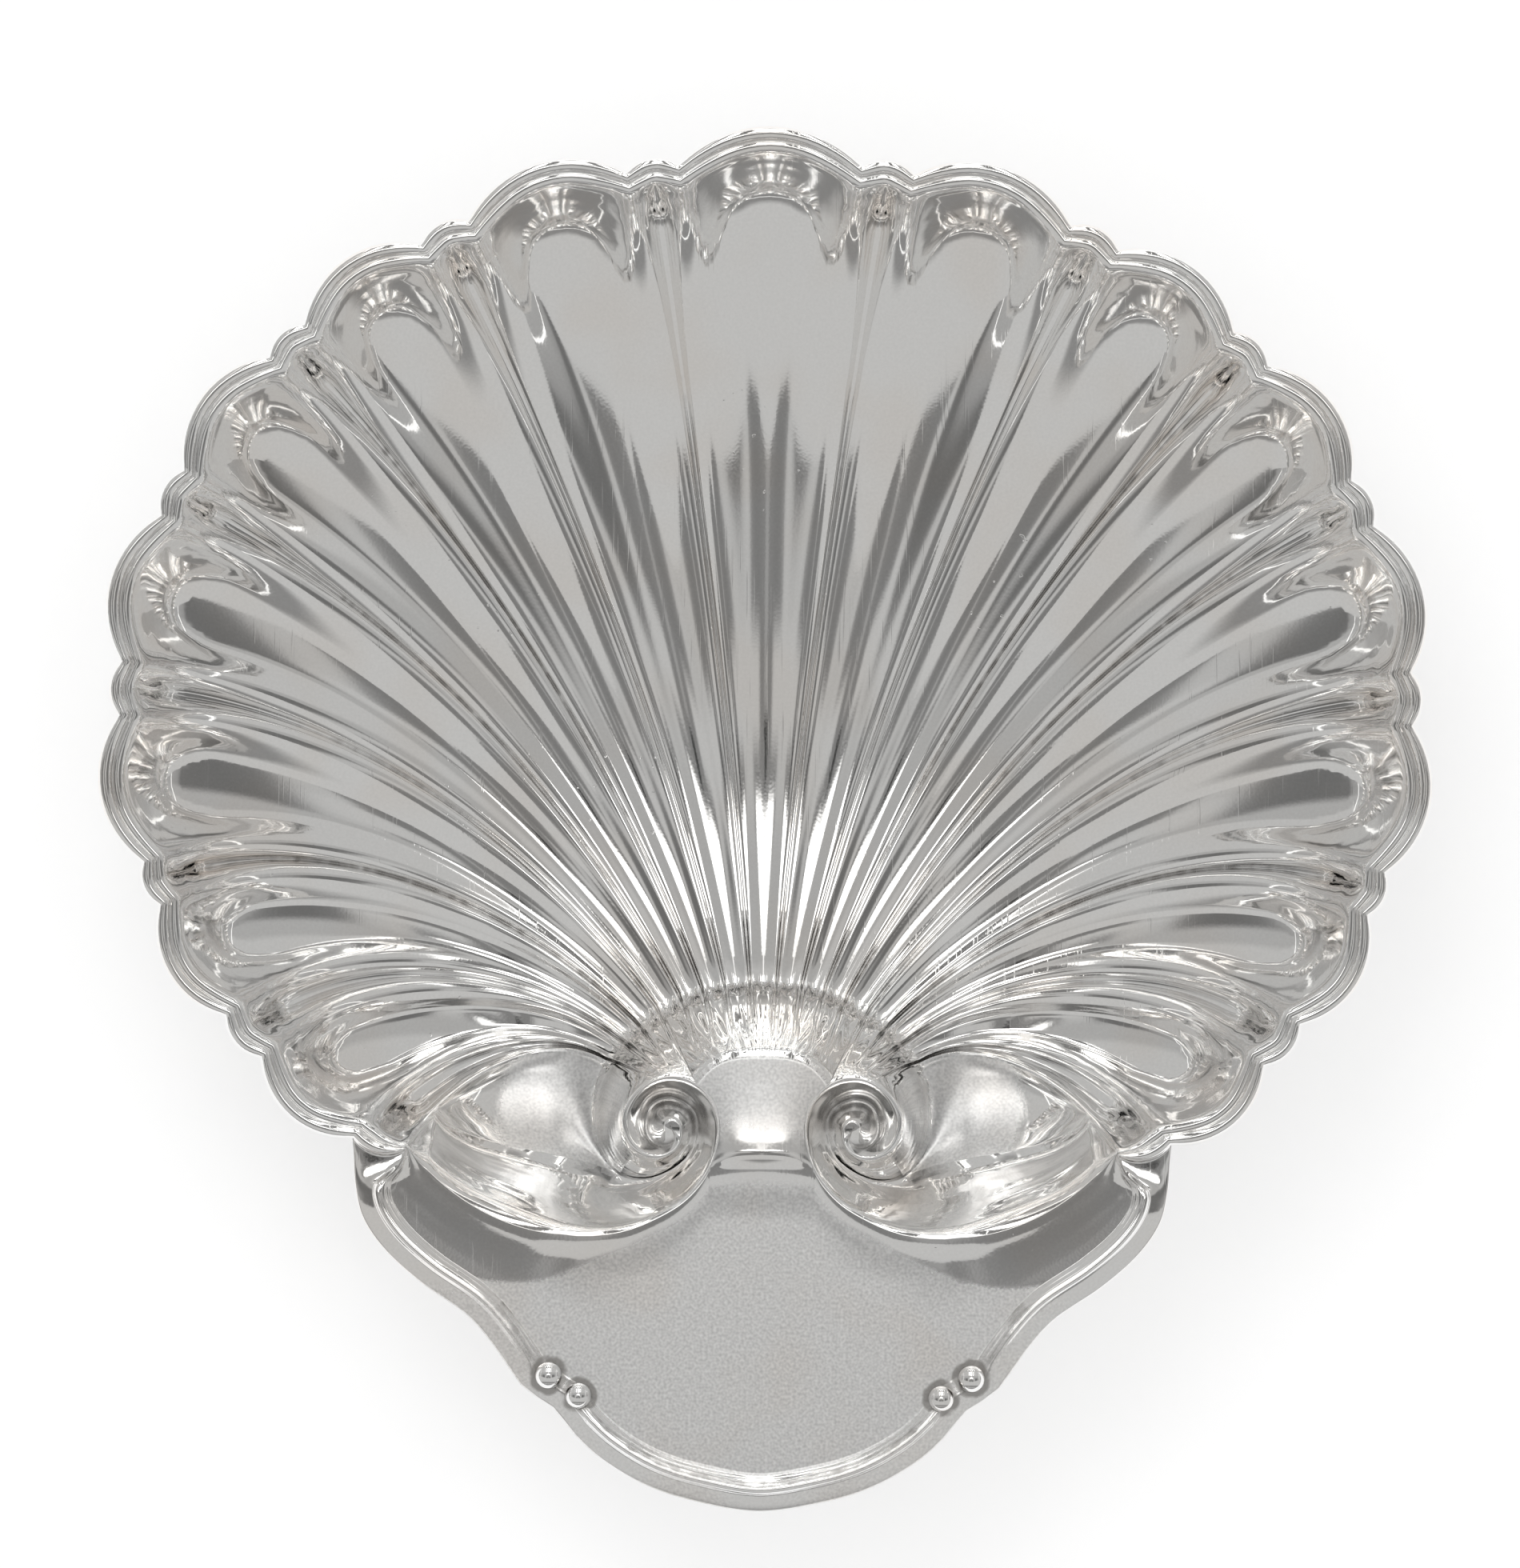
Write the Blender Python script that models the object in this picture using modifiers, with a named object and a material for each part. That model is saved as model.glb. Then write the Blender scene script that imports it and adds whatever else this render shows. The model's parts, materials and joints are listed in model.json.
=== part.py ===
"""A footed shell dish in silver: a fluted scallop bowl, a flat handle and three ball feet.

The dish lies with its mirror plane at X = 0, the shell towards +Y, the handle towards -Y
and +Z up. The body is one sheet of metal, so it is one solid. Its upper skin is made of
six flat grids, each bent into place by a rule: the fan of flutes, the small basin beside
the scroll, the ribbon that climbs the hinge arch and rolls into the scroll, the ribbon
that climbs behind the basin and rolls in beside it, the nose between the scrolls, and
the handle. They share their edges, so they weld into one skin, which is then thickened
downwards.
"""
import math

import bmesh
import bpy
import numpy as np
from mathutils import Vector
from mathutils.bvhtree import BVHTree

for old in list(bpy.data.objects):
    bpy.data.objects.remove(old, do_unlink=True)

# Rim of the shell, in metres
RIM_HALF_WIDTH = 0.1238
RIM_HALF_LENGTH = 0.1057
RIM_BAND = 0.0046
RIM_BEAD = 0.0028
RIM_DROP = 0.0019
FIRST_LOBE = 0.0351
LARGE_BULGE = 0.21
SMALL_BULGE = 0.19
LAST_LOBE_TUCK = 0.0035
# Widths of the lobes from the middle outwards, large and small in turn, as shares of
# the first one
LOBES = (1.0, 0.287, 0.897, 0.288, 0.771, 0.26, 0.772, 0.275, 0.825,
         0.293, 0.812, 0.25, 0.70, 0.298, 0.664, 0.259)

# Hinge arch and scrolls
HINGE_Y = -0.0736
ARCH_HALF_WIDTH = 0.0317
ARCH_HEIGHT = 0.0229
FAN_POINT = 0.0103
LAST_RIDGE_ANGLE = 61.0
NOSE_EDGE = 0.0083
SCROLL_X = 0.0176
SCROLL_DROP = 0.0057
SCROLL_SIZE = 0.0097

# Depths below the top of the rim
BOWL_DEPTH = 0.033
FAR_FLOOR = 0.014
HINGE_FLOOR = 0.029
LOWEST_AT = 0.30
NOSE_LEVEL = 0.0008
SCROLL_FLOOR = 0.0065
BASIN_FLOOR = 0.022

# Flutes
WALL_RUN = 0.0088
RIDGE_AT_HINGE = 0.0010
RIDGE_MIDDLE = 0.0030
RIDGE_FADE = 0.045
WALL_FADE = 0.0085

# Handle
HANDLE_LENGTH = 0.0707
BORDER_WIDTH = 0.0066
FLANGE_WIDTH = 0.0034
PLATE_DROP = 0.0018
BALL_SIZE = 0.0052
SMALL_BALL_SIZE = 0.0046

# Metal and feet
METAL = 0.0013
FOOT_BALL = 0.0118
FOOT_NECK = 0.0030
FOOT_STEM = 0.00105
FOOT_PAD = 0.0045
PAD_THICKNESS = 0.0009
FOOT_FLAT = 0.0022
FOOT_GAP = 0.0003
FRONT_FOOT_Y = 0.046
BACK_FOOT_X = 0.050
BACK_FOOT_Y = -0.034

SKIN_TRIANGLES = 5250
LARGE_COLUMNS = 8
SMALL_COLUMNS = 6
RIM_ROWS = 6
FLOOR_ROWS = 26
TURN = 24

LAST = len(LOBES)


def step(value):
    """Ease from 0 to 1 with a flat start and end."""
    value = np.clip(value, 0.0, 1.0)
    return value * value * (3.0 - 2.0 * value)


def wall_curve(q, foot, crest):
    """Rise from 0 to 1: a round foot up to foot, a straight slope, a round crest."""
    slope = 2.0 / (1.0 + crest - foot)
    low = slope * q * q / (2.0 * foot)
    middle = slope * (q - foot / 2.0)
    high = 1.0 - slope * (1.0 - q) ** 2 / (2.0 * (1.0 - crest))
    return np.where(q < foot, low, np.where(q < crest, middle, high))


def smooth_through(knots, values, at):
    """A smooth curve through hand-set knots, read at the given places."""
    knots = np.array(knots, float)
    values = np.array(values, float)
    slopes = np.gradient(values, knots)
    at = np.clip(at, knots[0], knots[-1])
    i = np.clip(np.searchsorted(knots, at, side="right") - 1, 0, len(knots) - 2)
    width = knots[i + 1] - knots[i]
    t = (at - knots[i]) / width
    a = (1 + 2 * t) * (1 - t) ** 2
    b = t * (1 - t) ** 2
    c = t * t * (3 - 2 * t)
    d = t * t * (t - 1)
    return a * values[i] + b * width * slopes[i] + c * values[i + 1] + d * width * slopes[i + 1]


def bow(start, end, along_1, out_1, along_2, out_2, t):
    """A bowed line from start to end; the two pulls are shares of the straight line."""
    line = end - start
    side = np.array([-line[1], line[0]])
    p1 = start + along_1 * line + out_1 * side
    p2 = start + along_2 * line + out_2 * side
    t = np.asarray(t, float)[:, None]
    return ((1 - t) ** 3 * start + 3 * t * (1 - t) ** 2 * p1
            + 3 * t * t * (1 - t) * p2 + t ** 3 * end)


def running_length(line):
    return np.concatenate([[0.0], np.cumsum(np.linalg.norm(np.diff(line, axis=0), axis=1))])


def unit(vectors):
    return vectors / np.linalg.norm(vectors, axis=-1, keepdims=True)


# Cusps of the rim: the lobes are stepped off along the oval from its far end
def rim_cusps():
    angle = np.linspace(0.0, 3.0, 6001)
    oval = np.stack([RIM_HALF_WIDTH * np.sin(angle), RIM_HALF_LENGTH * np.cos(angle)], axis=1)
    run = running_length(oval)
    widths = FIRST_LOBE * np.array(LOBES) * 1.004
    places = np.cumsum(widths) - widths[0] / 2.0
    cusps = np.stack([np.interp(places, run, oval[:, 0]), np.interp(places, run, oval[:, 1])],
                     axis=1)
    cusps[-1] *= 1.0 - LAST_LOBE_TUCK / np.linalg.norm(cusps[-1])
    return cusps


CUSPS = rim_cusps()
FAN = np.array([0.0, HINGE_Y - FAN_POINT])
RIM_SPAN = math.atan2(CUSPS[-1][0], CUSPS[-1][1] - FAN[1])


def lobe_ends(k):
    """The two cusps of lobe k; lobe 0 lies across the mirror plane."""
    end = CUSPS[k]
    start = CUSPS[k - 1] if k else np.array([-end[0], end[1]])
    return start, end


def oval_normal(points):
    flat = points / np.array([RIM_HALF_WIDTH ** 2, RIM_HALF_LENGTH ** 2])
    return unit(flat)


def rim_lobe(k, w):
    """Outer edge of lobe k at shares w, and the way inwards across the rim's band."""
    start, end = lobe_ends(k)
    chord = np.linalg.norm(end - start)
    along = (end - start) / chord
    out = np.array([-along[1], along[0]])
    bulge = SMALL_BULGE if k % 2 else LARGE_BULGE
    half = 2.0 * math.atan(2.0 * bulge)
    radius = chord / (2.0 * math.sin(half))
    turn = ((2.0 * w - 1.0) * half)[:, None]
    middle = (start + end) / 2.0
    edge = middle + out * (np.cos(turn) - math.cos(half)) * radius + along * np.sin(turn) * radius
    normal = out * np.cos(turn) + along * np.sin(turn)
    last = k == LAST - 1
    at_start = oval_normal(start) * 0.9
    at_end = oval_normal(end) * (0.26 if last else 0.9)
    near_start = (np.clip(1.0 - w / 0.25, 0.0, 1.0) ** 2)[:, None]
    near_end = (np.clip(1.0 - (1.0 - w) / (0.8 if last else 0.25), 0.0, 1.0) ** 2)[:, None]
    inward = -normal * (1.0 - near_start - near_end) - at_start * near_start - at_end * near_end
    return edge, inward


def hinge_angle(k, w):
    """Angle at the fan's point where the flow line of lobe k, share w, leaves the arch."""
    start, end = lobe_ends(k)
    a0 = math.atan2(start[0], start[1] - FAN[1])
    a1 = math.atan2(end[0], end[1] - FAN[1])
    return (a0 + (a1 - a0) * w) * math.radians(LAST_RIDGE_ANGLE) / RIM_SPAN


def arch_point(angle):
    """Foot of the hinge arch on the ray that leaves the fan's point at this angle."""
    dx = np.sin(angle)
    dy = np.cos(angle)
    a = (dx / ARCH_HALF_WIDTH) ** 2 + (dy / ARCH_HEIGHT) ** 2
    b = -2.0 * FAN_POINT * dy / ARCH_HEIGHT ** 2
    c = (FAN_POINT / ARCH_HEIGHT) ** 2 - 1.0
    reach = (-b + np.sqrt(b * b - 4.0 * a * c)) / (2.0 * a)
    return FAN + np.stack([reach * dx, reach * dy], axis=-1)


def flow(k, w, t):
    """Plan position on the flow lines of lobe k: w across, t from the arch to the band."""
    edge, inward = rim_lobe(k, w)
    end = edge + inward * RIM_BAND
    angle = hinge_angle(k, w)
    start = arch_point(angle)
    leave = np.stack([np.sin(angle), np.cos(angle)], axis=-1)
    arrive = oval_normal(edge)
    length = np.linalg.norm(end - start, axis=-1, keepdims=True)
    t = t[:, None]
    a = (1 + 2 * t) * (1 - t) ** 2
    b = t * (1 - t) ** 2
    c = t * t * (3 - 2 * t)
    d = t * t * (t - 1)
    return a * start + b * length * leave + c * end + d * length * arrive, length[:, 0]


def floor_level(t):
    """Height of the bowl's floor along a flow line."""
    far = -BOWL_DEPTH + (BOWL_DEPTH - FAR_FLOOR) * ((t - LOWEST_AT) / (1.0 - LOWEST_AT)) ** 2
    near = -BOWL_DEPTH + (BOWL_DEPTH - HINGE_FLOOR) * ((LOWEST_AT - t) / LOWEST_AT) ** 2
    return np.where(t > LOWEST_AT, far, near)


BAND_LEVEL = -0.00095


def ridge_height(inset):
    """Height of a ridge over the floor, at this distance in from the rim's band."""
    full = FAR_FLOOR + BAND_LEVEL
    low = RIDGE_AT_HINGE + RIDGE_MIDDLE * np.exp(-inset / RIDGE_FADE)
    rise = full - RIDGE_AT_HINGE - RIDGE_MIDDLE
    return low + rise * np.exp(-(inset / WALL_FADE) ** 1.15)


def fan_height(k, w, t, width, length):
    """Height of lobe k's flute: a floor, walls along both ridges and a round end."""
    side = (2.0 * w - 1.0) * width / 2.0
    inset = (1.0 - t) * length
    large = k % 2 == 0
    spread = step(inset / 0.075)
    share = (0.66 - 0.60 * spread) if large else (0.42 - 0.36 * spread)
    inner = width / 2.0 * share
    run = WALL_RUN if large else WALL_RUN * 0.8
    reach = run + inner
    below = np.maximum(reach - inset, 0.0)
    rho = np.sqrt(side ** 2 + below ** 2)
    safe = np.maximum(rho, 1e-9)
    to_side = (width / 2.0) / np.maximum(np.abs(side) / safe, 1e-9)
    to_end = reach / np.maximum(below / safe, 1e-9)
    border = np.minimum(to_side, to_end)
    inset_there = np.maximum(reach - border * below / safe, 0.0)
    inset_there = np.where(below > 0.0, inset_there, inset)
    top = ridge_height(inset_there)
    q = np.clip((rho - inner) / np.maximum(border - inner, 1e-9), 0.0, 1.0)
    at_end = np.clip(to_side / np.maximum(to_end, 1e-9) - 0.9, 0.0, 0.2) * 5.0
    at_end = np.where(below > 0.0, at_end, 0.0)
    crest = (0.80 if large else 0.62) * (1.0 - at_end) + 0.93 * at_end
    foot = 0.30 + 0.30 * spread
    return floor_level(t) + top * wall_curve(q, foot, crest)


def rim_height(share):
    """Height across the band: a round bead outside, a groove and a flat inner strip."""
    offset = share * RIM_BAND
    radius = RIM_BEAD / 2.0
    bead = np.sqrt(np.maximum(radius ** 2 - (offset - radius) ** 2, 0.0)) - radius
    bead = np.where(offset < radius, bead * RIM_DROP / radius, bead)
    strip = -0.00125 + (0.00125 - 0.0007) * step((offset - RIM_BEAD) / 0.0006)
    strip = strip + (BAND_LEVEL + 0.0007) * step((offset - RIM_BAND + 0.0006) / 0.0006)
    return np.where(offset < RIM_BEAD, np.maximum(bead, np.where(offset < radius, -1, -0.00125)),
                    strip)


# Scroll lines in polar form round the scroll's centre; the angle is turned from the
# direction of the mirror plane, and the radius is a share of the scroll's size
EDGE_ANGLES = (-135, -121, -100, -77, -47, -29, 5, 28, 60, 92, 130, 168, 205, 240, 280,
               317, 400, 500, 680)
EDGE_RADII = (2.98, 2.46, 1.83, 1.44, 1.14, 1.03, 0.99, 1.0, 1.0, 1.0, 0.94, 0.92, 0.83,
              0.67, 0.46, 0.29, 0.17, 0.09, 0.0)
FOOT_ANGLES = (173, 205, 225, 242, 266, 296, 332, 395, 427, 453, 486, 518, 565, 609, 655, 680)
FOOT_RADII = (1.55, 1.45, 1.38, 1.22, 0.95, 0.73, 0.57, 0.53, 0.53, 0.55, 0.56, 0.50, 0.45,
              0.39, 0.20, 0.0)
FOOT_DEPTHS = (1.0, 0.98, 0.93, 0.80, 0.52, 0.30, 0.16, 0.08, 0.05, 0.0)
FOOT_DEPTH_ANGLES = (133, 180, 225, 245, 275, 305, 340, 400, 500, 680)
SCROLL = np.array([SCROLL_X, HINGE_Y - SCROLL_DROP])
HINGE_END = arch_point(np.array([math.radians(LAST_RIDGE_ANGLE)]))[0]
HINGE_END_ANGLE = math.degrees(math.atan2(HINGE_END[1] - SCROLL[1], SCROLL[0] - HINGE_END[0]))


def polar(angle, radius):
    turn = np.radians(angle)
    return SCROLL + np.stack([-radius * np.cos(turn), radius * np.sin(turn)], axis=-1)


def edge_line(angle):
    """Upper edge of the scroll, from behind the basin to the scroll's centre."""
    radius = smooth_through(EDGE_ANGLES, EDGE_RADII, angle) * SCROLL_SIZE
    plan = polar(angle, radius)
    fall = step((angle - 60.0) / 300.0)
    height = -NOSE_LEVEL - 0.0016 * fall
    return np.column_stack([plan, height])


def foot_line(angle):
    """Foot of the scroll's ribbon, from the hinge's end to the scroll's centre."""
    first = np.linalg.norm(HINGE_END - SCROLL) / SCROLL_SIZE
    radius = smooth_through((HINGE_END_ANGLE,) + FOOT_ANGLES, (first,) + FOOT_RADII, angle)
    radius = np.where(angle >= 680.0, 0.0, radius)
    plan = polar(angle, np.maximum(radius, 0.0) * SCROLL_SIZE)
    sink = smooth_through(FOOT_DEPTH_ANGLES, FOOT_DEPTHS, angle)
    height = -SCROLL_FLOOR - (HINGE_FLOOR - RIDGE_AT_HINGE - SCROLL_FLOOR) * sink
    top = -NOSE_LEVEL - 0.0016
    centre = step((angle - 500.0) / 180.0)
    return np.column_stack([plan, height * (1.0 - centre) + top * centre])


# Rows along the flow lines: dense at the rim and near the arch
ROWS_T = 1.0 - (1.0 - np.linspace(0.0, 1.0, FLOOR_ROWS + 1)) ** 1.35
ROWS_R = np.linspace(1.0, 0.0, RIM_ROWS + 1)[1:]
BASIN_END = int(round(FLOOR_ROWS * 0.70))
BASIN_COLUMNS = 150 * TURN // 360


def flute_columns():
    """Lobe number and share of every column from the mirror plane to the last ridge."""
    columns = []
    for k in range(LAST):
        count = SMALL_COLUMNS if k % 2 else LARGE_COLUMNS
        for i in range(count):
            share = i / count
            if k or share >= 0.5:
                columns.append((k, share - 0.35 * math.sin(2.0 * math.pi * share) / (2.0 * math.pi)))
    columns.append((LAST - 1, 1.0))
    return columns


COLUMNS = flute_columns()
# The last lobes of the fan meet the scroll's edge past the nose, up to this angle
ROLL_COLUMNS = 3 * LARGE_COLUMNS + 4 * SMALL_COLUMNS
ROLL_ANGLE = 108.0
ONE_TURN = np.concatenate([
    np.linspace(-135.0, 60.0, 195 * TURN // 360 + 1)[:-1],
    np.linspace(60.0, ROLL_ANGLE, ROLL_COLUMNS + 1)[:-1],
    np.linspace(ROLL_ANGLE, 225.0, BASIN_COLUMNS + 1)[:-1]])
TURNS = np.concatenate([ONE_TURN, ONE_TURN + 360.0, ONE_TURN + 720.0])
TURNS = TURNS[TURNS < 700.0]


def ridge_line(k, t):
    place, length = flow(k, np.ones_like(t), t)
    return place, length


def fan_grid():
    """Points of the fan: one row of points for each column of the flutes."""
    grid = np.zeros((len(COLUMNS), FLOOR_ROWS + 1 + RIM_ROWS, 3))
    t = ROWS_T
    for c, (k, w) in enumerate(COLUMNS):
        shares = np.full_like(t, w)
        place, length = flow(k, shares, t)
        right, _ = ridge_line(k, t)
        left = right * np.array([-1.0, 1.0]) if k == 0 else ridge_line(k - 1, t)[0]
        width = np.linalg.norm(right - left, axis=1)
        grid[c, :len(t), :2] = place
        grid[c, :len(t), 2] = fan_height(k, shares, t, width, length)
        edge, inward = rim_lobe(k, np.full_like(ROWS_R, w))
        grid[c, len(t):, :2] = edge + inward * (ROWS_R * RIM_BAND)[:, None]
        grid[c, len(t):, 2] = rim_height(ROWS_R)
    return grid


FAN_GRID = fan_grid()
CORNER = FAN_GRID[-1, FLOOR_ROWS]
RIDGE = FAN_GRID[-1, :FLOOR_ROWS + 1]


def basin_foot():
    """Foot of the wall behind the basin, from the hinge side out to the last ridge."""
    inner = foot_line(np.array([225.0]))[0]
    outer = RIDGE[BASIN_END]
    t = np.linspace(0.0, 1.0, BASIN_END + 1)
    plan = bow(outer[:2], inner[:2], 0.21, 0.18, 0.617, 0.2245, 1.0 - t)
    height = inner[2] + (-BASIN_FLOOR - inner[2]) * step(t / 0.5)
    height = height + (outer[2] + BASIN_FLOOR) * step((t - 0.5) / 0.5)
    return np.column_stack([plan, height])


def wall_edge():
    """Upper edge of the wall behind the basin, from the scroll out to the rim's corner."""
    inner = edge_line(np.array([-135.0]))[0]
    t = np.linspace(0.0, 1.0, FLOOR_ROWS + 1)
    plan = bow(inner[:2], CORNER[:2], 0.2725, -0.15, 0.693, -0.1467, t)
    height = inner[2] + (CORNER[2] - inner[2]) * step(t)
    return np.column_stack([plan, height])


BASIN_FOOT = basin_foot()
WALL_EDGE = wall_edge()


def basin_grid():
    """Floor of the small basin between the last ridge and the wall behind it."""
    grid = np.zeros((BASIN_COLUMNS + 1, BASIN_END + 1, 3))
    angles = np.linspace(HINGE_END_ANGLE, 225.0, BASIN_COLUMNS + 1)
    near = foot_line(angles)
    near[0] = RIDGE[0]
    for c in range(BASIN_COLUMNS + 1):
        s = c / BASIN_COLUMNS
        for r in range(BASIN_END + 1):
            v = r / BASIN_END
            straight = RIDGE[r] * (1.0 - s) + BASIN_FOOT[r] * s
            ends = RIDGE[0] * (1.0 - s) + BASIN_FOOT[0] * s
            point = straight + (near[c] - ends) * (1.0 - v)
            floor = RIDGE[r][2] + (BASIN_FOOT[r][2] - RIDGE[r][2]) * wall_curve(s, 0.2, 0.45)
            sag = 0.0030 * math.sin(math.pi * s) * math.sin(math.pi * v)
            blend = min(1.0, 4.0 * v)
            point[2] = point[2] * (1.0 - blend) + floor * blend - sag
            grid[c, r] = point
    return grid


def ribbon(low, high, count, foot, crest):
    """A ribbon of wall between two lines with the same number of points."""
    grid = np.zeros((len(low), count + 1, 3))
    for i in range(count + 1):
        q = i / count
        grid[:, i, :2] = low[:, :2] + (high[:, :2] - low[:, :2]) * q
        rise = wall_curve(np.array([q]), foot, crest)[0]
        grid[:, i, 2] = low[:, 2] + (high[:, 2] - low[:, 2]) * rise
    return grid


def nose_line():
    """Edge of the nose over the arch, from the mirror plane to the scroll."""
    count = len(COLUMNS) - 1 - ROLL_COLUMNS
    end = edge_line(np.array([60.0]))[0]
    start = np.array([0.0, HINGE_Y + NOSE_EDGE])
    shoulder = np.array([SCROLL_X * 0.55, start[1] - 0.0008])
    s = np.linspace(0.0, 1.0, count + 1)[:, None]
    plan = ((1 - s) ** 3 * start + 3 * s * (1 - s) ** 2 * (start + np.array([0.006, 0.0]))
            + 3 * s * s * (1 - s) * shoulder + s ** 3 * end[:2])
    return np.column_stack([plan, np.full(count + 1, -NOSE_LEVEL)])


NOSE = nose_line()


def arch_ribbon():
    """The wall from the flutes' foot up to the nose, rolled on into the scroll."""
    roll_angles = np.linspace(HINGE_END_ANGLE, 225.0, BASIN_COLUMNS + 1)[1:]
    on = TURNS[TURNS > 225.1]
    low = np.vstack([FAN_GRID[:, 0], foot_line(roll_angles), foot_line(on)])
    edge = TURNS[TURNS > 60.1]
    high = np.vstack([NOSE, edge_line(edge)])
    return ribbon(low, high, 6, 0.3, 0.85)


def wall_ribbon():
    """The wall behind the basin, rolled on beside the arch's ribbon."""
    low = np.vstack([RIDGE[:BASIN_END:-1], BASIN_FOOT[::-1], foot_line(TURNS[1:] + 360.0)])
    high = np.vstack([WALL_EDGE[::-1], edge_line(TURNS[1:])])
    return ribbon(low, high, 6, 0.25, 0.85)


def nose_grid():
    """The saddle between the scrolls, from the nose's edge down to the neck."""
    angles = TURNS[(TURNS < 60.5) & (TURNS > NECK_ANGLE - 0.5)][::-1]
    edge = edge_line(angles)
    rows = len(angles)
    count = len(NOSE)
    s = running_length(NOSE[:, :2])
    s = s / s[-1]
    grid = np.zeros((count, rows, 3))
    for r in range(rows):
        v = r / (rows - 1)
        middle = NOSE[0, 1] + (edge[-1, 1] + 0.0006 - NOSE[0, 1]) * v
        bend = NOSE[:, 1] - (NOSE[0, 1] + (NOSE[-1, 1] - NOSE[0, 1]) * s)
        grid[:, r, 0] = s * edge[r, 0] + (NOSE[:, 0] - s * NOSE[-1, 0]) * (1.0 - v)
        grid[:, r, 1] = middle + (edge[r, 1] - middle) * s ** 2 * v
        grid[:, r, 1] += (edge[r, 1] - middle) * s * (1.0 - v) + bend * (1.0 - v)
        saddle = smooth_through(SADDLE_AT, SADDLE_RISE, np.array([v]))[0]
        grid[:, r, 2] = edge[r, 2] + saddle * (1.0 - s * s)
    return grid


SADDLE_AT = (0.0, 0.25, 0.58, 0.85, 1.0)
SADDLE_RISE = (0.0, -0.0004, -0.0008, 0.0006, 0.0002)
NECK_ANGLE = -45.0
NOSE_GRID = nose_grid()
NECK = NOSE_GRID[:, -1]

# Half of the handle's outline from the rim's corner to the tip: shares of the corner's
# distance from the mirror plane, and of the handle's length
OUTLINE_X = (1.0, 0.997, 0.993, 0.974, 0.92, 0.832, 0.718, 0.649, 0.610, 0.583, 0.552,
             0.517, 0.482, 0.451, 0.385, 0.285, 0.168, 0.0)
OUTLINE_Y = (0.0, 0.042, 0.128, 0.215, 0.301, 0.387, 0.474, 0.560, 0.622, 0.664, 0.692,
             0.711, 0.754, 0.797, 0.862, 0.927, 0.970, 1.0)
BALLS = ((0.516, 0.635, BALL_SIZE), (0.443, 0.689, SMALL_BALL_SIZE))


def handle_outline(shares):
    """The handle's outer line from its tip to the rim's corner, read at shares of its length."""
    corner = CUSPS[-2]
    knots = np.arange(len(OUTLINE_X), dtype=float)
    fine = np.linspace(0.0, len(OUTLINE_X) - 1.0, 800)
    past = knots.tolist() + [float(len(knots))]
    x = smooth_through(past, OUTLINE_X + (-OUTLINE_X[-2],), fine) * corner[0]
    y = corner[1] - smooth_through(past, OUTLINE_Y + (OUTLINE_Y[-2],), fine) * HANDLE_LENGTH
    line = np.stack([x, y], axis=1)[::-1]
    places = running_length(line)[-1] * shares
    run = running_length(line)
    return np.stack([np.interp(places, run, line[:, 0]), np.interp(places, run, line[:, 1])],
                    axis=1)


def border_height(offset, strength):
    """Height of the handle's border at this distance in from the outline."""
    edge = -0.0024 + 0.0015 * np.clip(offset / FLANGE_WIDTH, 0.0, 1.0) ** 0.8
    bead_at = FLANGE_WIDTH + 0.0011
    bead = 0.0011 * np.sqrt(np.maximum(1.0 - ((offset - bead_at) / 0.0010) ** 2, 0.0))
    inner_at = BORDER_WIDTH - 0.0009
    inner = 0.0007 * np.sqrt(np.maximum(1.0 - ((offset - inner_at) / 0.0008) ** 2, 0.0))
    fall = step((offset - FLANGE_WIDTH) / (BORDER_WIDTH - FLANGE_WIDTH))
    return edge + (-PLATE_DROP - edge) * fall + (bead + inner) * strength


def handle_grid():
    """The handle from the nose and the scroll's edge out to its border."""
    inner = np.vstack([NECK, edge_line(TURNS[TURNS < NECK_ANGLE - 0.5][::-1]), WALL_EDGE[1:]])
    count = len(inner)
    run = running_length(inner[:, :2])
    outer = handle_outline(run / run[-1])
    tangent = np.gradient(outer, running_length(outer), axis=0)
    normal = unit(np.stack([-tangent[:, 1], tangent[:, 0]], axis=1))
    normal[0] = (0.0, 1.0)
    side = np.vstack([FAN_GRID[-1, FLOOR_ROWS:], FAN_GRID[-2:-SMALL_COLUMNS - 2:-1, -1]])
    steps = len(side) - 1
    border = 7
    offsets = np.linspace(BORDER_WIDTH, 0.0, border + 1)
    plain = steps - border
    notch = np.linalg.norm(outer - (CUSPS[-2] * np.array([0.56, 1.0])
                                    - np.array([0.0, 0.69 * HANDLE_LENGTH])), axis=1)
    strength = step((notch - 0.004) / 0.006)
    grid = np.zeros((count, steps + 1, 3))
    for i in range(steps + 1):
        if i < plain:
            q = i / plain
            rim_side = outer + normal * BORDER_WIDTH
            grid[:, i, :2] = inner[:, :2] + (rim_side - inner[:, :2]) * q
            away = np.linalg.norm(grid[:, i, :2] - inner[:, :2], axis=1)
            fall = step(away / 0.0035)
            grid[:, i, 2] = inner[:, 2] + (-PLATE_DROP - inner[:, 2]) * fall
        else:
            offset = offsets[i - plain]
            grid[:, i, :2] = outer + normal * offset
            grid[:, i, 2] = border_height(np.full(count, offset), strength)
    share = (run / run[-1])[:, None, None]
    pull = step((share - 0.80) / 0.20)
    wanted = np.broadcast_to(side[None, :, :] - grid[-1][None, :, :], grid.shape)
    return grid + wanted * pull


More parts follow.
